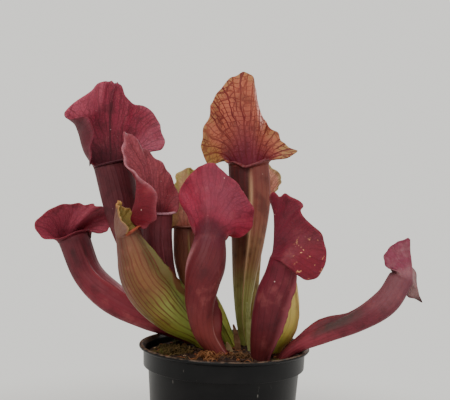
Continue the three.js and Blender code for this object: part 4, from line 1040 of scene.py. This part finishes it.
def lump_mesh(rng, size):
    """Corners and faces of one rough chip of about that size in millimetres, on its own centre."""
    mesh = bmesh.new()
    bmesh.ops.create_icosphere(mesh, subdivisions=2, radius=1)
    wander = rng.normal(0, 0.13, (len(mesh.verts), 3))
    corners = np.array([v.co[:] for v in mesh.verts])
    corners = np.sign(corners) * np.abs(corners) ** 0.75
    faces = [[v.index for v in f.verts] for f in mesh.faces]
    mesh.free()
    spin = Matrix.Rotation(rng.uniform(0, 6.28), 3, "Z") @ Matrix.Rotation(rng.normal(0, 0.35), 3, "X")
    return (corners + wander) * np.array(size) / 2 @ np.array(spin).T, faces


# How far from the middle each kind of bit may lie.
CHIP_REACH, FIBRE_REACH, MOSS_REACH = 38.5, 37.5, 39
CHIPS = [
    dict(name="bark_dark", seed=20, count=150, long=(1.2, 3.6),
         colors=[(34, 22, 18), (58, 38, 28), (84, 58, 42)]),
    dict(name="bark_red", seed=21, count=90, long=(0.9, 2.8),
         colors=[(84, 44, 26), (124, 68, 40), (150, 94, 60)]),
    dict(name="bark_pale", seed=22, count=46, long=(0.6, 1.9),
         colors=[(140, 106, 78), (176, 142, 110), (206, 180, 150)]),
]


def chip(rng, kind):
    """A bark chip or crumb that lies on the peat."""
    x, y = scatter_place(rng, CHIP_REACH)
    long = rng.uniform(*kind["long"])
    size = (long, long * rng.uniform(0.4, 0.8), long * rng.uniform(0.25, 0.55))
    corners, faces = lump_mesh(rng, size)
    return corners + [x, y, ground(x, y) + size[2] * 0.22], faces


STRAND_SIDES = 5


def tube_along(path, radii):
    """Corners and faces of a closed thin tube along a path in millimetres."""
    tangent = unit(np.gradient(path, axis=0))
    side = unit(np.cross(tangent, np.where(np.abs(tangent[:, 2:]) > 0.9, [[1.0, 0, 0]], [[0, 0, 1.0]])))
    other = np.cross(tangent, side)
    turn = 2 * np.pi * np.arange(STRAND_SIDES) / STRAND_SIDES
    away = side[:, None] * np.cos(turn)[None, :, None] + other[:, None] * np.sin(turn)[None, :, None]
    rings = path[:, None] + radii[:, None, None] * away
    return rings.reshape(-1, 3), grid_faces(len(path), STRAND_SIDES)


# How strands wander: in how many steps, how much each turns aside, how far from the middle they may
# come, the fewest steps worth keeping, and how far from a half wave's ends their taper starts.
FIBRE = dict(steps=14, stray=0.18, reach=39, least=6, taper=0.35)
ROOTLET = dict(steps=12, stray=0.25, reach=39.5, least=5, taper=0.4)


def strand(rng, kind, place, turn, bend, length, rise, thick):
    """Corners and faces of a curly strand over the peat, none where the pot's wall cuts it short."""
    (x, y), steps = place, kind["steps"]
    path = []
    for i in range(steps):
        if math.hypot(x, y) > kind["reach"]:
            break
        path.append((x, y, rise(math.sin(math.pi * i / (steps - 1)))))
        turn += bend + rng.normal(0, kind["stray"])
        x += math.cos(turn) * length / steps
        y += math.sin(turn) * length / steps
    if len(path) < kind["least"]:
        return [], []
    path = np.array(path)
    path[:, 2] += ground(path[:, 0], path[:, 1])
    taper = np.sin(np.linspace(kind["taper"], math.pi - kind["taper"], len(path)))
    return tube_along(path, rng.uniform(*thick) * taper)


FIBRES = [
    dict(name="fibre_orange", seed=31, count=70, long=(3, 9), thick=(0.08, 0.2),
         colors=[(110, 62, 34), (156, 96, 58), (184, 130, 88)]),
    dict(name="fibre_dark", seed=32, count=110, long=(3, 9), thick=(0.08, 0.2),
         colors=[(40, 26, 20), (66, 44, 32), (92, 64, 46)]),
]


def fibre(rng, kind):
    """A curly fibre that lies anywhere on the peat."""
    place = scatter_place(rng, FIBRE_REACH)
    turn, bend = rng.uniform(0, 2 * math.pi), rng.normal(0, 0.35)
    lift, length = rng.uniform(0.1, 1.1), rng.uniform(*kind["long"])
    return strand(rng, FIBRE, place, turn, bend, length, lambda arch: 0.12 + arch * lift, kind["thick"])


CLUMPS = [
    dict(name="dry_moss", seed=60, count=330, centre=(-24.5, -5), spread=(7, 4.5), height=4.2, long=(3, 8),
         thick=(0.1, 0.26), colors=[(54, 42, 24), (94, 74, 40), (136, 114, 72)]),
    dict(name="dry_moss_back", seed=61, count=120, centre=(-31, 6), spread=(4, 6), height=2.6, long=(3, 7),
         thick=(0.1, 0.24), colors=[(50, 40, 24), (90, 74, 40), (130, 112, 70)]),
    dict(name="rootlets", seed=62, count=95, centre=(-8, -17.5), spread=(5, 2.6), height=4.4, long=(4, 9),
         thick=(0.12, 0.28), colors=[(84, 48, 30), (142, 90, 54), (200, 152, 108)]),
    dict(name="dark_rootlets", seed=63, count=170, centre=(7.5, -15), spread=(6.5, 4), height=3.4,
         long=(3, 8), thick=(0.1, 0.26), colors=[(62, 40, 26), (104, 72, 44), (150, 108, 70)]),
    dict(name="right_rootlets", seed=64, count=70, centre=(31, -8), spread=(3.5, 6), height=1.8, long=(3, 6),
         thick=(0.1, 0.2), colors=[(70, 44, 28), (116, 78, 46), (164, 120, 78)]),
]


def rootlet(rng, clump):
    """A strand of dry moss or root that stands up from the peat in a loose heap."""
    off = rng.normal(0, 0.5, 2)
    place = [c + o * w for c, o, w in zip(clump["centre"], off, clump["spread"])]
    top = clump["height"] * rng.uniform(0.1, 1) * math.exp(-float(off @ off))
    turn, bend = rng.uniform(0, 2 * math.pi), rng.normal(0, 0.4)
    length, low = rng.uniform(*clump["long"]), rng.uniform(0, 0.7) * top

    def rise(arch):
        return low + (top - low) * arch + rng.normal(0, 0.06)

    return strand(rng, ROOTLET, place, turn, bend, length, rise, clump["thick"])


MOSS = dict(name="moss", seed=41, colors=[(62, 64, 30), (96, 96, 44), (132, 128, 66)])
# Each bed of moss: its direction from the middle, how far out it lies, and how wide it is.
MOSS_BEDS = [
    (-1.9, 33, 4.5), (-0.6, 34, 4), (0.4, 33, 5), (1.5, 32, 5.5), (2.4, 34, 4), (3.3, 33, 4.5),
    (4.0, 34, 3.2), (-1.2, 35, 3)]
SHOOTS, LEAFLETS, LEAFLET_TURN = 60, 9, 2.4
LEAFLET_FACES = [(0, 2, 1), (0, 3, 2), (3, 1, 2), (0, 1, 3)]


def make_moss():
    """Small moss tufts near the pot's edge and round the stems: pointed leaflets on short shoots."""
    rng = np.random.default_rng(MOSS["seed"])
    points, faces = [], []
    up = np.array([0, 0, 0.05])
    for t, r, spread in MOSS_BEDS:
        for _ in range(SHOOTS):
            x, y = math.cos(t) * r + rng.normal(0, spread / 2), math.sin(t) * r + rng.normal(0, spread / 2)
            if math.hypot(x, y) > MOSS_REACH:
                continue
            foot = np.array([x, y, ground(x, y) - 0.1])
            tip = foot + np.array([rng.normal(0, 0.35), rng.normal(0, 0.35), rng.uniform(0.7, 1.9)])
            for k in range(LEAFLETS):
                along = 0.15 + 0.85 * k / (LEAFLETS - 1)
                start = foot * (1 - along) + tip * along
                turn = k * LEAFLET_TURN + rng.uniform(0, 0.6)
                out = np.array([math.cos(turn), math.sin(turn), 0.75])
                side = np.array([-math.sin(turn), math.cos(turn), 0]) * 0.09
                end = start + out * rng.uniform(0.4, 0.65)
                corners = [start - side, start + side, end, start + up - side * 0.2]
                pile(points, faces, corners, LEAFLET_FACES)
    lay(MOSS, points, faces, 700.0, 0.8, 0.0001, smooth=False)


def dress_rhizome():
    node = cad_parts["rhizome"]
    colors = [(70, 44, 30), (112, 76, 52), (150, 110, 80)]
    node.data.materials.clear()
    node.data.materials.append(speckled_material("rhizome_stuff", colors, 240.0, 0.8, 0.0005))


# ---- camera, lights, floor ------------------------------------------------------------------------
BACKDROP = rgb(203, 202, 197)
BACKDROP_GLOW, SKY_LIGHT = 1.8, 0.68
FOCAL_PX, WIDTH_PX, SENSOR = 760, 450, 36
FLOOR_R, FLOOR_FADE = 9, (0.12, 0.3)
EYE = Vector((-2, -402, 160)) * MM
PITCH, ROLL = math.radians(0.53), math.radians(1.8)
AIM = Vector((0, 0, 0.13))


def make_camera():
    data = bpy.data.cameras.new("camera")
    data.lens, data.sensor_width = FOCAL_PX / WIDTH_PX * SENSOR, SENSOR
    data.clip_start, data.clip_end = 0.01, 50
    ob = link("camera", data)
    turned = Matrix.Rotation(math.pi / 2 - PITCH, 4, "X") @ Matrix.Rotation(ROLL, 4, "Z")
    ob.matrix_world = Matrix.Translation(EYE) @ turned
    bpy.context.scene.camera = ob


def make_light(name, place, size, power, color=(1, 1, 1)):
    data = bpy.data.lights.new(name, "AREA")
    data.shape, data.size, data.energy, data.color = "DISK", size, power, color
    ob = link(name, data)
    ob.location = Vector(place)
    ob.rotation_euler = (AIM - Vector(place)).to_track_quat("-Z", "Y").to_euler()


def make_studio():
    make_light("key", (-0.45, -0.75, 0.95), 0.6, 7.9, (1, 0.97, 0.94))
    make_light("fill", (0.9, -0.6, 0.5), 0.8, 3.7, (0.96, 0.98, 1))
    make_light("rim", (0.4, 0.9, 0.8), 0.7, 6)
    make_light("top", (-0.2, 0.2, 1.3), 0.8, 4)
    world = bpy.data.worlds.new("studio")
    world.use_nodes = True
    tree = world.node_tree
    shade = tree.nodes["Background"]
    shade.inputs["Color"].default_value = BACKDROP
    path, mix = tree.nodes.new("ShaderNodeLightPath"), tree.nodes.new("ShaderNodeMapRange")
    mix.inputs["To Min"].default_value, mix.inputs["To Max"].default_value = SKY_LIGHT, BACKDROP_GLOW
    tree.links.new(path.outputs["Is Camera Ray"], mix.inputs["Value"])
    tree.links.new(mix.outputs[0], shade.inputs["Strength"])
    bpy.context.scene.world = world


def make_floor():
    """A wide pale floor, whose far part melts into the studio's own pale grey."""
    mesh = bmesh.new()
    bmesh.ops.create_circle(mesh, cap_ends=True, segments=96, radius=FLOOR_R)
    data = bpy.data.meshes.new("floor")
    mesh.to_mesh(data)
    ob = link("floor", data)
    m = Shader("floor_paint")
    normal = m.bump(m.noise(m.place, 60.0), 0.0005, 0.2)
    m.finish(rgb(212, 210, 206), 0.85, Normal=normal, Specular_IOR_Level=0.2)
    glow = m.node("Emission", BACKDROP, BACKDROP_GLOW).outputs[0]
    away = m.node("VectorMath", m.place, operation="LENGTH").outputs["Value"]
    join = m.node("MixShader", m.ramp(away, *FLOOR_FADE), m.out.outputs[0], glow)
    m.tree.links.new(join.outputs[0], m.tree.nodes["Material Output"].inputs["Surface"])
    data.materials.append(m.material)


make_camera()
make_hairs(make_pitchers())
make_blades()
make_pot()
make_peat()
scatter(CHIPS, chip, 500.0, 0.9, 0.0003, smooth=False)
scatter(FIBRES, fibre, 400.0, 0.85, 0.0002)
scatter(CLUMPS, rootlet, 300.0, 0.85, 0.0002)
make_moss()
dress_rhizome()
make_studio()
make_floor()
